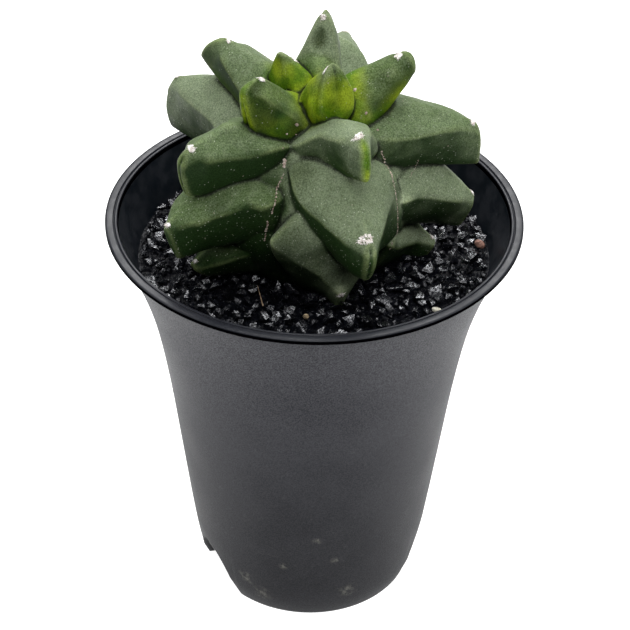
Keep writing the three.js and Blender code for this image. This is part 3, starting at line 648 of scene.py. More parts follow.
def surface_bend(mesh):
    """How far each vertex lies under its near and wide surroundings, in voxels; over them is negative."""
    co, pairs, normal = coordinates(mesh), edge_pairs(mesh), normals(mesh)
    bends = []
    wide = co
    for rounds in (8, 32):
        for _ in range(rounds):
            wide = neighbour_mean(wide, pairs)
        bends.append(np.einsum("ij,ij->i", wide - co, normal) / (VOXEL * MM))
    return np.stack(bends, 1)


def thin_out(flesh, bend):
    """Cuts the mesh down to FLESH_TRIANGLES and carries the bend values over."""
    tree = kdtree.KDTree(len(bend))
    for i, p in enumerate(coordinates(flesh.data)):
        tree.insert(p, i)
    tree.balance()
    flesh.data.calc_loop_triangles()
    thin = flesh.modifiers.new("thin", "DECIMATE")
    thin.ratio = min(1.0, FLESH_TRIANGLES / len(flesh.data.loop_triangles))
    apply_modifiers(flesh)
    return bend[[tree.find(p)[1] for p in coordinates(flesh.data)]]


def lime_and_frost(tub, along, down):
    """A tubercle's lime, frost and lift at a share of its length and a share of the way down its side; its
    lift is painted light on the sides.
    """
    lime_all, lime_keel, lime_foot = tub["lime"]
    frost_all, frost_foot, lift = tub["frost"]
    if lime_keel > 0:
        keel = smoothstep(0.9, 1.0, along)
    else:
        keel = smoothstep(0.35, 0.85, along) * (1 - smoothstep(0.1, 0.5, down))
    foot = smoothstep(0.35, 0.95, down) * (1 - smoothstep(0.55, 0.95, along))
    base = max(foot, 1 - smoothstep(0.12, 0.42, along))
    return lime_all + lime_keel * keel + lime_foot * base, frost_all + frost_foot * foot, lift


def colour_guides(mesh, shapes, bend):
    """Stores how lime and how frosted the skin is, and where its ridges, creases and wide hollows are, for the
    painted highlight and painted shade.
    """
    tree = kdtree.KDTree(sum(len(r) * len(r[0]) for r in shapes.values()))
    facts = []
    for name, rings in shapes.items():
        for i, ring in enumerate(rings):
            for point in ring:
                tree.insert(Vector(point[:3] * MM), len(facts))
                facts.append(lime_and_frost(TUBERCLES[name], i / (len(rings) - 1), point[3]))
    tree.balance()
    pairs = edge_pairs(mesh)
    guides = np.array(facts)[[tree.find(p)[1] for p in coordinates(mesh)]]
    for _ in range(8):
        guides = 0.3 * guides + 0.7 * neighbour_mean(guides, pairs)
    store(mesh, "lime", np.clip(guides[:, 0], 0, 1))
    store(mesh, "frost", guides[:, 1])
    store(mesh, "lift", guides[:, 2])
    # Masks for the painted shade in creases and hollows and the painted highlight on ridges
    store(mesh, "crease_shade_mask", smoothstep(0.04, 0.5, bend[:, 0]))
    store(mesh, "hollow_shade_mask", smoothstep(0.3, 3.0, bend[:, 1]))
    store(mesh, "ridge", smoothstep(0.08, 0.6, -bend[:, 0]))


def press_dents(mesh):
    """Presses the dents into the skin and stores how dark the skin is painted there, partly tone and partly
    painted shade and light.
    """
    co, normal = coordinates(mesh), normals(mesh)
    tree = skin_tree(mesh)
    dark = np.zeros(len(co))
    for x, y, radius, depth, tone_and_painted_shade in DENTS_AND_PAINTED_SHADE:
        spot, _ = seen_at(tree, x, y)
        if spot is None:
            continue
        away = np.linalg.norm(co - np.array(spot), axis=1) / (radius * MM)
        share = (1 - np.minimum(away, 1) ** 2) ** 2
        co -= normal * (share * depth * MM)[:, None]
        dark += tone_and_painted_shade * share
    move_points(mesh, co)
    store(mesh, "dark", dark)


def make_flesh():
    flesh, shapes = union_flesh()
    relax(flesh.data, SMOOTHING_ROUNDS)
    bend = surface_bend(flesh.data)
    add_relief(flesh.data)
    bend = thin_out(flesh, bend)
    colour_guides(flesh.data, shapes, bend)
    press_dents(flesh.data)
    flesh.data.shade_smooth()
    return flesh


class Strands:
    """Gathers thin three-sided fibres and small lumps in one mesh."""

    def __init__(self, seed):
        self.points, self.faces, self.rng = [], [], random.Random(seed)

    def fibre(self, path, radius):
        start = len(self.points)
        for i, p in enumerate(path):
            ahead = (path[min(i + 1, len(path) - 1)] - path[max(i - 1, 0)]).normalized()
            side = ahead.orthogonal().normalized()
            other = ahead.cross(side)
            r = radius * (1 - 0.75 * i / (len(path) - 1))
            for k in range(3):
                angle = 2 * math.pi * k / 3
                self.points.append(p + (side * math.cos(angle) + other * math.sin(angle)) * r)
        for i in range(len(path) - 1):
            for k in range(3):
                a, b = start + 3 * i + k, start + 3 * i + (k + 1) % 3
                self.faces.append((a, b, b + 3, a + 3))
        end = start + 3 * (len(path) - 1)
        self.faces.append((start + 2, start + 1, start))
        self.faces.append((end, end + 1, end + 2))

    def lump(self, centre, axes, roughness, detail=2):
        work = bmesh.new()
        bmesh.ops.create_icosphere(work, subdivisions=detail, radius=1)
        start = len(self.points)
        shift = Vector([self.rng.uniform(-50, 50) for _ in range(3)])
        for v in work.verts:
            swell = 1 + roughness * noise.noise(v.co * 1.7 + shift)
            self.points.append(centre + sum((axis * c for axis, c in zip(axes, v.co)), Vector()) * swell)
        self.faces += [tuple(start + v.index for v in f.verts) for f in work.faces]
        work.free()

    def build(self, name):
        return mesh_object(name, [tuple(p) for p in self.points], self.faces, scale=1)


def tuft_place(tree, name, tub):
    """The middle of a tuft on the skin, the skin's normal there and the direction across the keel."""
    angle = math.radians(tub["az"])
    out, side = Vector((math.cos(angle), math.sin(angle), 0)), Vector((-math.sin(angle), math.cos(angle), 0))
    r, z = tub["areole"]
    areole = (Vector((PLANT_AXIS[0], PLANT_AXIS[1], z + 0.4)) + out * (r + 0.2)) * MM
    centre, normal, _, _ = tree.find_nearest(areole)
    if name in TUFT_SPOTS:
        seen, seen_normal = seen_at(tree, *TUFT_SPOTS[name])
        if seen is not None and (seen - areole).length < 4 * MM:
            centre, normal = seen, seen_normal
    across = (side - normal * side.dot(normal)).normalized()
    return centre, normal, across


def make_wool(tree):
    """Felted tufts on the areoles: small matted lumps and jagged shreds lying every way over them."""
    wool = Strands(11)
    rng = wool.rng
    for name, tub in TUBERCLES.items():
        centre, normal, across = tuft_place(tree, name, tub)
        along = normal.cross(across)
        half_length, half_width = 0.5 * tub["tuft"] * MM, (0.19 * tub["tuft"] + 0.26) * MM

        def spot(spread):
            a = rng.uniform(0, 2 * math.pi)
            d = spread * math.sqrt(rng.random())
            p = centre + across * (math.cos(a) * d * half_length) + along * (math.sin(a) * d * half_width)
            surface, up, _, _ = tree.find_nearest(p)
            return surface, up

        for _ in range(int(6 + 7 * tub["tuft"])):
            p, up = spot(0.85)
            size = rng.uniform(0.1, 0.22) * MM
            turn = rng.uniform(0, math.pi)
            one = (across * math.cos(turn) + along * math.sin(turn)) * size * rng.uniform(1.0, 2.2)
            wool.lump(p + up * 0.04 * MM, (one, one.cross(up).normalized() * size, up * size * 0.7), 0.8)
        for _ in range(int(14 + 34 * tub["tuft"])):
            p, up = spot(1.0)
            heading = rng.gauss(0, 0.8) + rng.choice((0, math.pi))
            curl = rng.uniform(-1.4, 1.4)
            step = rng.uniform(0.1, 0.26) * MM
            path, lift = [p - up * 0.02 * MM], rng.uniform(0.02, 0.1) * MM
            for k in range(3):
                heading += curl * 0.5
                path.append(path[-1] + (across * math.cos(heading) + along * math.sin(heading)) * step
                            + up * (lift * (1.0 if k < 1 else rng.uniform(-0.8, 0.5))))
            wool.fibre(path, rng.uniform(0.03, 0.065) * MM)
    return wool.build("areole_wool")


def make_beads(tree):
    """Corky grains and crusts in the furrows, and pale dots on the skin."""
    beads = Strands(23)
    rng = beads.rng
    tones = []

    def grain(p, up, radius, tone):
        turn = up.orthogonal().normalized()
        other = up.cross(turn)
        size = radius * MM
        before = len(beads.points)
        axes = (turn * size * rng.uniform(0.8, 1.4), other * size * rng.uniform(0.7, 1.2), up * size * 0.6)
        beads.lump(p + up * size * 0.1, axes, 0.6, 2 if radius > 0.25 else 1)
        tones.extend([tone] * (len(beads.points) - before))

    for x, y, radius in DOTS:
        p, up = seen_at(tree, x, y)
        if p is not None:
            grain(p, up, radius, rng.uniform(0.3, 0.8))
    for radius, spacing, route in CRUSTS:
        seen = [seen_at(tree, x, y)[0] for x, y in route]
        seen = [p for p in seen if p is not None]
        for start, end in zip(seen, seen[1:]):
            steps = max(1, round((end - start).length / (spacing * MM)))
            for k in range(steps):
                stray = Vector([rng.gauss(0, 0.09) for _ in range(3)]) * MM
                p, up, _, _ = tree.find_nearest(start.lerp(end, k / steps) + stray)
                grain(p, up, radius * rng.uniform(0.6, 1.3), rng.random())
    axis = Vector((PLANT_AXIS[0], PLANT_AXIS[1], 0))
    for furrow in BACK_FURROWS:
        for _ in range(BACK_FURROW_GRAINS):
            angle = math.radians(furrow + rng.uniform(-1.2, 1.2))
            out = Vector((math.cos(angle), math.sin(angle), 0))
            height = rng.uniform(*BACK_FURROW_HEIGHTS)
            p, up, _, _ = tree.ray_cast((axis + out * 60 + Vector((0, 0, height))) * MM, -out)
            if p is not None:
                grain(p, up, rng.uniform(0.1, 0.24), rng.random())
    made = beads.build("furrow_beads")
    store(made.data, "tone", np.array(tones))
    return made


# The grit


def grain_shape(rng):
    """A broken grain about 1 in half size: the hull of a few points, with flat faces and sharp edges."""
    work = bmesh.new()
    for _ in range(rng.choice((8, 9, 10, 12))):
        direction = Vector([rng.gauss(0, 1) for _ in range(3)]).normalized()
        work.verts.new(direction * rng.uniform(0.85, 1.1))
    hull = bmesh.ops.convex_hull(work, input=work.verts)
    loose = [v for v in hull["geom_interior"] + hull["geom_unused"] if isinstance(v, bmesh.types.BMVert)]
    bmesh.ops.delete(work, geom=list(set(loose)), context="VERTS")
    work.verts.index_update()
    co = np.array([v.co for v in work.verts])
    faces = [tuple(v.index for v in f.verts) for f in work.faces]
    work.free()
    return co, faces


def grit_bed(rng):
    """The dressing under the loose grains: a ring-shaped slab with an uneven top, its hole in the plant."""
    points = []
    for j in range(BED_COLUMNS):
        angle = 2 * math.pi * j / BED_COLUMNS
        c, s = math.cos(angle), math.sin(angle)
        for i in range(BED_ROWS):
            share = i / (BED_ROWS - 1)
            r = GRIT_HOLE_RADIUS + (GRIT_RADIUS - GRIT_HOLE_RADIUS) * share
            points.append((r * c - (1 - share), r * s, GRIT_BED_TOP + rng.uniform(-0.25, 0.25)))
        points.append(((GRIT_RADIUS - 0.9) * c, (GRIT_RADIUS - 0.9) * s, GRIT_BOTTOM))
        points.append((GRIT_HOLE_RADIUS * c - 1, GRIT_HOLE_RADIUS * s, GRIT_BOTTOM))
    return np.array(points), closed_quads(BED_COLUMNS, BED_ROWS + 2)


def make_grit(flesh_tree):
    """The dressing: a bed and loose grains over it, packed closely and lying every way.

    The lowest layer fills the gaps, so it may lie under the grains above it and under the stray bits.
    """
    rng = random.Random(5)
    shapes = [grain_shape(rng) for _ in range(GRAIN_SHAPES)]
    grid, cell, nearby = {}, 2.2, range(-2, 3)

    def crowded(x, y, gap):
        i, j = int(x // cell), int(y // cell)
        around = [p for di in nearby for dj in nearby for p in grid.get((i + di, j + dj), ())]
        return any(math.hypot(x - px, y - py) < gap + pg for px, py, pg in around)

    bed, faces = grit_bed(rng)
    points, tones, count = [bed], [0.3] * len(bed), len(bed)
    for layer, (tries, keep, sizes, level) in enumerate(GRIT_LAYERS):
        lowest = layer == len(GRIT_LAYERS) - 1
        if lowest:
            grid = {}
        for _ in range(tries):
            a, d = rng.uniform(0, 2 * math.pi), GRIT_RADIUS * math.sqrt(rng.random())
            size = rng.choice(sizes)
            x, y = d * math.cos(a), d * math.sin(a)
            if d + 0.75 * size > GRIT_RADIUS or crowded(x, y, keep * size):
                continue
            z = level - 0.2 * size + rng.uniform(-0.35, 0.35)
            spot = Vector((x, y, z)) * MM
            p, normal, _, away = flesh_tree.find_nearest(spot)
            if (spot - p).dot(normal) < 0 or away < 0.75 * size * MM:
                continue
            if not lowest and any(math.hypot(x - bx, y - by) < size + br for bx, by, br in STRAY_SPOTS):
                continue
            grid.setdefault((int(x // cell), int(y // cell)), []).append((x, y, keep * size))
            co, shape = rng.choice(shapes)
            axis = Vector([rng.gauss(0, 1) for _ in range(3)]).normalized()
            turn = np.array(Matrix.Rotation(rng.uniform(0, 2 * math.pi), 3, axis))
            stretch = np.array((rng.uniform(0.8, 1.15), rng.uniform(0.7, 1.0), rng.uniform(0.6, 0.9)))
            swing = np.array(Matrix.Rotation(rng.uniform(0, 2 * math.pi), 3, "Z"))
            points.append((co @ turn * stretch) @ swing * size + (x, y, z))
            faces += [tuple(count + k for k in f) for f in shape]
            tones += [rng.random()] * len(co)
            count += len(co)
    grit = mesh_object("grit_grains", np.vstack(points), faces)
    outward(grit)
    store(grit.data, "tone", np.array(tones))
    return grit


def make_straw():
    """A thin dry splinter, slightly bent, that leans on the grains."""
    straw = Strands(31)
    straw.fibre([Vector(p) * MM for p in STRAW_ROUTE], 0.16 * MM)
    return straw.build("straw")


# The pot


def pot_profile():
    """The wall's outside from the foot up, the lip, and the wall's inside down to the foot."""
    def under_rim(inset, drop):
        return RIM_RADIUS - inset, POT_HEIGHT - drop

    outer = catmull_rom([(r, z) for z, r in WALL_CURVE] + [under_rim(*WALL_END_OUTSIDE)], 4)
    inner = catmull_rom([(r - WALL, z) for z, r in WALL_CURVE] + [under_rim(*WALL_END_INSIDE)], 4)
    return [tuple(p) for p in outer], [under_rim(*p) for p in LIP_CURVE], [tuple(p) for p in inner[::-1]]


def arch_height(azimuth):
    """How high the skirt is cut away at an azimuth in degrees."""
    for centre in ARCH_AZIMUTHS:
        off = (azimuth - centre + 180) % 360 - 180
        across = abs(math.sin(math.radians(off))) * SKIRT_RADIUS / ARCH_HALF_WIDTH
        if abs(off) < 60 and across < 1:
            return ARCH_HEIGHT * (1 - across**ARCH_POWER)
    return 0.0


def wall_radius(height):
    """The radius of the wall's outside at a height."""
    return float(np.interp(height, [z for z, _ in WALL_CURVE], [r for _, r in WALL_CURVE]))


def make_pot():
    """The pot's shell, column by column, with its arches and its three finishes."""
    outer, lip, inner = pot_profile()
    profile = outer + lip + inner
    turning = len(outer) + len(lip)
    points = []
    for k in range(POT_COLUMNS):
        azimuth = 360 * k / POT_COLUMNS
        cut = arch_height(azimuth)
        c, s = math.cos(math.radians(azimuth)), math.sin(math.radians(azimuth))
        for i, (r, z) in enumerate(profile):
            if cut > 0 and z < SKIRT_TOP:
                z = cut + (SKIRT_TOP - cut) * z / SKIRT_TOP
                r = wall_radius(z) - (WALL if i >= turning else 0)
            points.append((r * c, r * s, z))
    rows = len(profile)
    pot = mesh_object("pot_shell", points, closed_quads(POT_COLUMNS, rows))
    outward(pot)
    add_materials(pot, wall_material(skin_tree(pot.data)), lip_material(), inner_wall_material())
    lip_start = len(outer) - 1
    for face in pot.data.polygons:
        i = face.index % rows
        face.material_index = 0 if i < lip_start or i == rows - 1 else 1 if i < turning else 2
    pot.data.shade_smooth()
    return pot


def make_floor_disc():
    """The raised floor: a disc with drain holes."""
    curve = bpy.data.curves.new("pot_floor", "CURVE")
    curve.dimensions, curve.fill_mode = "2D", "BOTH"
    radius = wall_radius(FLOOR_TOP) - 0.7 * WALL
    circles = [(0, 0, radius), (0, 0, MIDDLE_DRAIN_RADIUS)]
    ring = DRAIN_RING_RADIUS
    for k in range(DRAIN_COUNT):
        angle = 2 * math.pi * k / DRAIN_COUNT
        circles.append((ring * math.cos(angle), ring * math.sin(angle), DRAIN_RADIUS))
    for x, y, r in circles:
        spline = curve.splines.new("POLY")
        count = 96 if r > 10 else 32
        spline.points.add(count - 1)
        for k, point in enumerate(spline.points):
            angle = 2 * math.pi * k / count
            point.co = ((x + r * math.cos(angle)) * MM, (y + r * math.sin(angle)) * MM, 0, 1)
        spline.use_cyclic_u = True
    curve.extrude = 0.5 * (FLOOR_TOP - FLOOR_UNDERSIDE) * MM
    holder = bpy.data.objects.new("pot_floor_curve", curve)
    bpy.context.scene.collection.objects.link(holder)
    bpy.context.view_layer.update()
    mesh = bpy.data.meshes.new_from_object(holder.evaluated_get(bpy.context.evaluated_depsgraph_get()))
    bpy.data.objects.remove(holder)
    mesh.transform(Matrix.Translation((0, 0, 0.5 * (FLOOR_TOP + FLOOR_UNDERSIDE) * MM)))
    floor = bpy.data.objects.new("pot_floor", mesh)
    bpy.context.scene.collection.objects.link(floor)
    return floor


# Materials


class Shader:
    """A short way to write node trees: nodes are made by type, and inputs are constants or other sockets."""

    def __init__(self, name):
        self.material = bpy.data.materials.new(name)
        self.material.use_nodes = True
        self.tree = self.material.node_tree
        self.tree.nodes.clear()
        self.place = self.node("ShaderNodeTexCoord").outputs["Object"]

    def feed(self, socket, value):
        """Links another socket to this one or gives it a constant; a colour gets full opacity."""
        if isinstance(value, bpy.types.NodeSocket):
            self.tree.links.new(value, socket)
        else:
            socket.default_value = (*value, 1.0) if socket.type == "RGBA" else value

    def node(self, kind, settings=None, **inputs):
        """A node of a kind; i0, i1 and so on are its sockets by number, and other words their labels."""
        made = self.tree.nodes.new(kind)
        for key, value in (settings or {}).items():
            setattr(made, key, value)
        for key, value in inputs.items():
            number = key[1:] if key[0] == "i" else ""
            self.feed(made.inputs[int(number) if number else key.replace("_", " ")], value)
        return made

    def math(self, operation, a, b=0.0, c=0.0):
        return self.node("ShaderNodeMath", {"operation": operation}, i0=a, i1=b, i2=c).outputs[0]

    def product(self, a, b):
        return self.math("MULTIPLY", a, b)

    def total(self, a, b):
        return self.math("ADD", a, b)

    def noise(self, size_mm, detail=2.0, rough=0.5):
        made = self.node("ShaderNodeTexNoise", Vector=self.place, Scale=1000.0 / size_mm, Detail=detail,
                         Roughness=rough)
        return made.outputs["Fac"]

    def ramp(self, value, low, high, to_low=0.0, to_high=1.0):
        made = self.node("ShaderNodeMapRange", {"interpolation_type": "SMOOTHSTEP"}, i0=value, i1=low,
                         i2=high, i3=to_low, i4=to_high)
        return made.outputs[0]

    def mix(self, factor, a, b, blend="MIX"):
        made = self.node("ShaderNodeMix", {"data_type": "RGBA", "blend_type": blend})
        sockets = [s for s in made.inputs if s.enabled]
        for socket, value in zip(sockets, (factor, a, b)):
            self.feed(socket, value)
        return next(s for s in made.outputs if s.enabled)

    def tint(self, colour, factors):
        return self.mix(1.0, colour, factors, "MULTIPLY")

    def attribute(self, name):
        return self.node("ShaderNodeAttribute", {"attribute_name": name}).outputs["Fac"]

    def height(self):
        return self.node("ShaderNodeSeparateXYZ", Vector=self.place).outputs["Z"]

    def facing_up(self):
        normal = self.node("ShaderNodeNewGeometry").outputs["Normal"]
        return self.node("ShaderNodeSeparateXYZ", Vector=normal).outputs["Z"]

    def bump(self, height, distance_mm, strength=1.0, before=None):
        extra = {"Normal": before} if before else {}
        made = self.node("ShaderNodeBump", Height=height, Distance=distance_mm * MM, Strength=strength,
                         **extra)
        return made.outputs["Normal"]

    def finish(self, **inputs):
        principled = self.node("ShaderNodeBsdfPrincipled", **inputs)
        output = self.node("ShaderNodeOutputMaterial")
        self.tree.links.new(principled.outputs[0], output.inputs[0])
        return self.material


def flesh_material():
    s = Shader("cactus_skin")
    lime, frost, dark = s.attribute("lime"), s.attribute("frost"), s.attribute("dark")
    cloud = s.noise(5.5, 3)
    mottle = s.noise(1.7, 3, 0.6)
    fine = s.noise(0.32, 3, 0.7)
    # A pale bloom where the skin looks up, over dark green: partly the waxy bloom, partly painted light and
    # shade
    sway = s.product(s.math("SUBTRACT", cloud, 0.5), 0.6)
    # The facing-up ramp and the lift paint light on upper faces and sides, and painted shade on the faces
    # below
    bloom_and_painted_light = s.ramp(s.total(s.total(s.facing_up(), sway), s.attribute("lift")), 0.1, 1.0)
    upper = s.mix(frost, (0.052, 0.085, 0.026), (0.136, 0.172, 0.102))
    upper = s.mix(s.math("SUBTRACT", frost, 1), upper, (0.245, 0.292, 0.185))
    colour = s.mix(bloom_and_painted_light, (0.009, 0.024, 0.005), upper)
    colour = s.mix(s.product(bloom_and_painted_light, s.ramp(mottle, 0.42, 0.68, 0.0, 0.2)), colour, (0.19, 0.22, 0.15))
    # Young skin is yellow-green
    lime_tone = s.mix(s.ramp(cloud, 0.35, 0.65), (0.055, 0.122, 0.001), (0.2, 0.27, 0.008))
    colour = s.mix(s.ramp(lime, 0.0, 1.0, 0.0, 0.95), colour, lime_tone)
    # Pale ridges, partly paler skin and partly a painted highlight, and painted shade in the hollows and
    # creases
    edge = s.product(s.attribute("ridge"), s.ramp(lime, 0.1, 0.9, 0.45, 0.15))
    colour = s.mix(edge, colour, (0.19, 0.24, 0.1))
    shade = s.product(s.attribute("hollow_shade_mask"), s.ramp(lime, 0.1, 0.9, 0.5, 0.2))
    colour = s.mix(shade, colour, (0.008, 0.02, 0.004))
    painted_crease_shade = s.product(s.attribute("crease_shade_mask"), s.ramp(frost, 1.2, 2.2, 0.95, 0.15))
    colour = s.mix(painted_crease_shade, colour, (0.004, 0.007, 0.002))
    # The patches: darker and paler skin, partly its tone and partly painted shade and painted light
    colour = s.mix(dark, colour, s.tint(colour, (0.3, 0.34, 0.22)))
    colour = s.mix(s.product(dark, -1), colour, s.tint(colour, (2.6, 2.4, 2.6)))
    # The skin's fine grain, and pale specks that grow closer lower down
    darker = s.mix(0.34, colour, (0, 0, 0))
    veil = s.product(s.ramp(bloom_and_painted_light, 0.0, 1.0, 0.006, 0.07), s.ramp(lime, 0.1, 0.9, 1.0, 0.25))
    paler = s.mix(veil, s.tint(colour, (1.2, 1.2, 1.2)), (0.5, 0.56, 0.42))
    colour = s.mix(s.ramp(fine, 0.34, 0.66), darker, paler)
    fleck = s.node("ShaderNodeTexVoronoi", Vector=s.place, Scale=1250.0).outputs["Distance"]
    dusty = s.ramp(s.height(), 0.122, 0.108, 0.0, 0.13)
    sparse = s.ramp(s.total(s.noise(2.1, 3), dusty), 0.5, 0.64)
    dots = s.product(s.ramp(fleck, 0.2, 0.08), sparse)
    colour = s.mix(s.product(dots, 0.55), colour, (0.42, 0.45, 0.36))
    bump = s.bump(s.noise(1.5, 3), 0.10, 0.6)
    bump = s.bump(fine, 0.03, 0.9, bump)
    rough = s.ramp(s.noise(3.5, 3), 0.3, 0.7, 0.44, 0.58)
    return s.finish(Base_Color=colour, Roughness=rough, Normal=bump, Specular_IOR_Level=0.05,
                    Subsurface_Weight=0.05, Subsurface_Radius=(0.5, 0.8, 0.2), Subsurface_Scale=0.8 * MM)


def wool_material():
    s = Shader("wool_felt")
    tone = s.mix(s.ramp(s.noise(0.7, 2), 0.35, 0.65), (0.55, 0.5, 0.47), (0.92, 0.9, 0.88))
    tone = s.mix(s.ramp(s.noise(0.3, 2), 0.56, 0.68, 0.0, 0.7), tone, (0.17, 0.11, 0.08))
    return s.finish(Base_Color=tone, Roughness=0.95, Specular_IOR_Level=0.2,
                    Normal=s.bump(s.noise(0.2, 2), 0.04))


def bead_material():
    s = Shader("corky_grains")
    tone = s.mix(s.attribute("tone"), (0.11, 0.065, 0.048), (0.42, 0.33, 0.28))
    tone = s.mix(s.ramp(s.noise(0.5, 2), 0.45, 0.65, 0.0, 0.5), tone, (0.55, 0.5, 0.44))
    return s.finish(Base_Color=tone, Roughness=0.8, Normal=s.bump(s.noise(0.25, 2), 0.05))


def grit_material():
    s = Shader("black_grit")
    tone = s.attribute("tone")
    dull = s.noise(0.7, 4, 0.65)
    colour = s.mix(tone, (0.0012, 0.0013, 0.002), (0.005, 0.0055, 0.008))
    colour = s.mix(s.ramp(dull, 0.58, 0.72, 0.0, 0.5), colour, (0.06, 0.06, 0.066))
    rough = s.ramp(s.total(s.product(tone, 0.25), dull), 0.35, 0.9, 0.1, 0.28)
    bump = s.bump(s.noise(0.8, 4, 0.76), 0.24, 1.0)
    # Glints on the upper grains, fading into the gaps
    glint = s.ramp(s.noise(0.5, 3, 0.7), 0.42, 0.6, 0.2, 2.6)
    glint = s.product(glint, s.ramp(s.height(), 0.0866, 0.0887, 0.03, 1.1))
    return s.finish(Base_Color=colour, Roughness=rough, Normal=bump, Specular_IOR_Level=glint,
                    Specular_Tint=(0.95, 0.96, 1.0))


def wall_material(tree):
    """Grainy black plastic with painted shade, darker toward the foot, and faint lime stains where the
    photograph shows them.
    """
    s = Shader("pot_wall")
    height = s.height()
    grain = s.noise(0.3, 3, 0.8)
    cloud = s.noise(14, 3)
    # Painted shade: darker toward the foot
    colour = s.mix(s.ramp(height, 0.01, 0.09), (0.0025, 0.0028, 0.0055), (0.013, 0.0135, 0.0195))
    pale = s.mix(0.015, colour, (0.6, 0.6, 0.62))
    colour = s.mix(s.ramp(grain, 0.4, 0.62), s.mix(0.42, colour, (0, 0, 0)), pale)
    smear = s.ramp(s.noise(1.6, 5, 0.7), 0.42, 0.68)
    for x, y, radius in STAIN_SPOTS:
        spot, _ = seen_at(tree, x, y)
        if spot is None:
            continue
        away = s.node("ShaderNodeVectorMath", {"operation": "DISTANCE"}, i0=s.place, i1=tuple(spot))
        near = s.ramp(away.outputs["Value"], radius * MM, 0.15 * radius * MM)
        colour = s.mix(s.product(s.product(near, smear), 0.3), colour, (0.3, 0.29, 0.24))
    dust = s.ramp(s.noise(2.2, 5, 0.7), 0.6, 0.8, 0.0, 0.18)
    colour = s.mix(dust, colour, (0.13, 0.13, 0.135))
    sheen = s.product(s.ramp(cloud, 0.32, 0.68, 0.18, 0.28), s.ramp(height, 0.0, 0.07, 0.62, 1.0))
    amount = s.ramp(height, 0.05, 0.09, 0.2, 1.25)
    swing = s.product(s.math("SUBTRACT", s.ramp(grain, 0.38, 0.62), 0.5), amount)
    return s.finish(Base_Color=colour, Roughness=s.ramp(cloud, 0.3, 0.7, 0.46, 0.56),
                    Normal=s.bump(grain, 0.05, 0.7), Specular_Tint=(0.93, 0.945, 1.0),
                    Specular_IOR_Level=s.product(sheen, s.total(swing, 1)))


def lip_material():
    """Smooth plastic: dull grey where it looks up, and painted shade that makes it black at its side."""
    s = Shader("pot_lip")
    wear = s.noise(3.0, 4, 0.6)
    flat = s.ramp(s.facing_up(), 0.25, 0.85)
    colour = s.mix(s.ramp(wear, 0.5, 0.75, 0.0, 0.5), (0.012, 0.013, 0.017), (0.03, 0.031, 0.036))
    # Painted shade: black on the faces that don't look up
    colour = s.mix(flat, (0.0005, 0.0005, 0.0008), colour)
    bump = s.bump(s.noise(1.2, 3), 0.03, 0.5)
    return s.finish(Base_Color=colour, Roughness=s.ramp(wear, 0.3, 0.7, 0.3, 0.44), Normal=bump,
                    Specular_IOR_Level=s.ramp(flat, 0.0, 1.0, 0.0, 0.12))


def inner_wall_material():
    s = Shader("pot_inside")
    wear = s.noise(4.0, 4, 0.6)
    colour = s.mix(s.ramp(wear, 0.4, 0.7), (0.004, 0.006, 0.009), (0.013, 0.015, 0.019))
    bump = s.bump(s.noise(0.5, 3), 0.02, 0.5)
    return s.finish(Base_Color=colour, Roughness=s.ramp(wear, 0.3, 0.7, 0.34, 0.5), Normal=bump,
                    Specular_IOR_Level=0.25)


def dull_material(name):
    """A rough, mottled finish for the potting mix, the stray bits and the straw."""
    dark, light, size_mm = DULL_TONES[name]
    s = Shader(name)
    colour = s.mix(s.ramp(s.noise(size_mm, 4, 0.7), 0.35, 0.7), dark, light)
    bump = s.bump(s.noise(size_mm * 0.6, 4, 0.7), 0.4 * size_mm)
    return s.finish(Base_Color=colour, Roughness=0.8, Normal=bump)


def add_materials(obj, *materials):
    obj.data.materials.clear()
    for material in materials:
        obj.data.materials.append(material)


def paint_node(name, material):
    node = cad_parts[name]
    for slot in node.material_slots:
        slot.material = material
    if not node.material_slots:
        node.data.materials.append(material)


def place(piece, slot, *nodes):
    """A piece rides with the part and stands for the named CAD nodes, which it hides. Its slot is not used."""
    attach(piece, "root")
    if nodes:
        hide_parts(*nodes)


# Studio and camera


def make_lamp(name, place, power):
    data = bpy.data.lights.new(name, "AREA")
    data.shape, data.size, data.energy = "DISK", LAMP_SIZE, power
    lamp = bpy.data.objects.new(name, data)
    lamp.location = place
    lamp.rotation_euler = (LAMP_AIM - Vector(place)).to_track_quat("-Z", "Y").to_euler()
    bpy.context.scene.collection.objects.link(lamp)


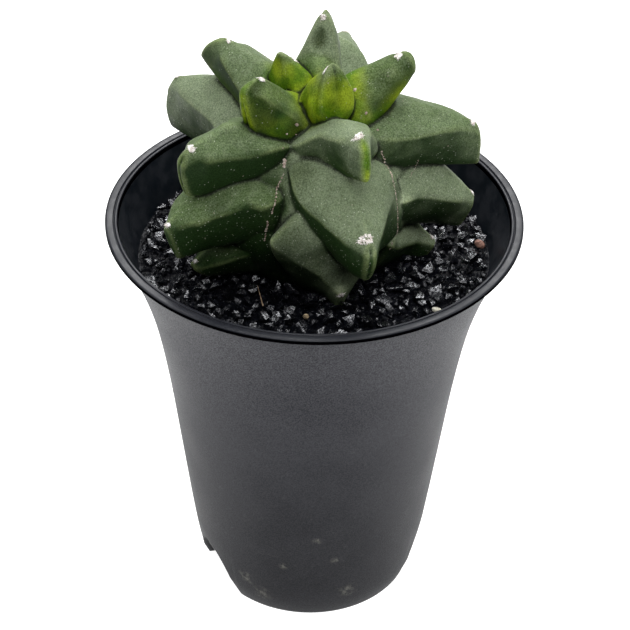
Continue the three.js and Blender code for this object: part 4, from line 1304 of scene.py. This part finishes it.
def make_studio():
    half = STUDIO_HALF
    corners = [(-half, -half, 0), (half, -half, 0), (half, half, 0), (-half, half, 0)]
    floor = mesh_object("studio_floor", corners, [(0, 1, 2, 3)], scale=1)
    s = Shader("studio_table")
    tone = s.mix(s.noise(60, 2), (0.45, 0.45, 0.45), (0.47, 0.47, 0.47))
    add_materials(floor, s.finish(Base_Color=tone, Roughness=0.9, Specular_IOR_Level=0.2,
                                  Emission_Color=(1, 1, 1), Emission_Strength=1.0))
    world = bpy.data.worlds.new("studio")
    world.use_nodes = True
    world.node_tree.nodes["Background"].inputs["Color"].default_value = (1, 1, 1, 1)
    world.node_tree.nodes["Background"].inputs["Strength"].default_value = WORLD_STRENGTH
    bpy.context.scene.world = world
    for name, (place_m, power) in LAMPS.items():
        make_lamp(name, place_m, power)
    bpy.context.scene.view_settings.view_transform = "Standard"


def make_camera():
    place_mm, right, up, forward = camera_frame()
    data = bpy.data.cameras.new("camera")
    data.sensor_width = SENSOR_WIDTH
    data.lens = SENSOR_WIDTH * FOCAL_PIXELS / PICTURE
    data.clip_start, data.clip_end = 0.01, 20
    camera = bpy.data.objects.new("camera", data)
    camera.matrix_world = Matrix((
        (right.x, up.x, -forward.x, place_mm.x * MM),
        (right.y, up.y, -forward.y, place_mm.y * MM),
        (right.z, up.z, -forward.z, place_mm.z * MM),
        (0, 0, 0, 1),
    ))
    bpy.context.scene.collection.objects.link(camera)
    bpy.context.scene.camera = camera


# The pieces

flesh = make_flesh()
add_materials(flesh, flesh_material())
place(flesh, "cactus_flesh", "cactus")
flesh_tree = skin_tree(flesh.data)

wool = make_wool(flesh_tree)
add_materials(wool, wool_material())
place(wool, "cactus_flesh")
beads = make_beads(flesh_tree)
add_materials(beads, bead_material())
place(beads, "cactus_flesh")

grit = make_grit(flesh_tree)
add_materials(grit, grit_material())
place(grit, "black_grit", "grit_dressing")

pot = make_pot()
place(pot, "pot_plastic", "pot")
pot_floor = make_floor_disc()
add_materials(pot_floor, lip_material())
place(pot_floor, "pot_plastic")

for name in ("potting_mix", "brown_stone", "pale_chip", "pale_grain"):
    paint_node(name, dull_material(name))
straw = make_straw()
add_materials(straw, dull_material("straw"))
place(straw, "straw", "straw_splinter")

make_studio()
make_camera()
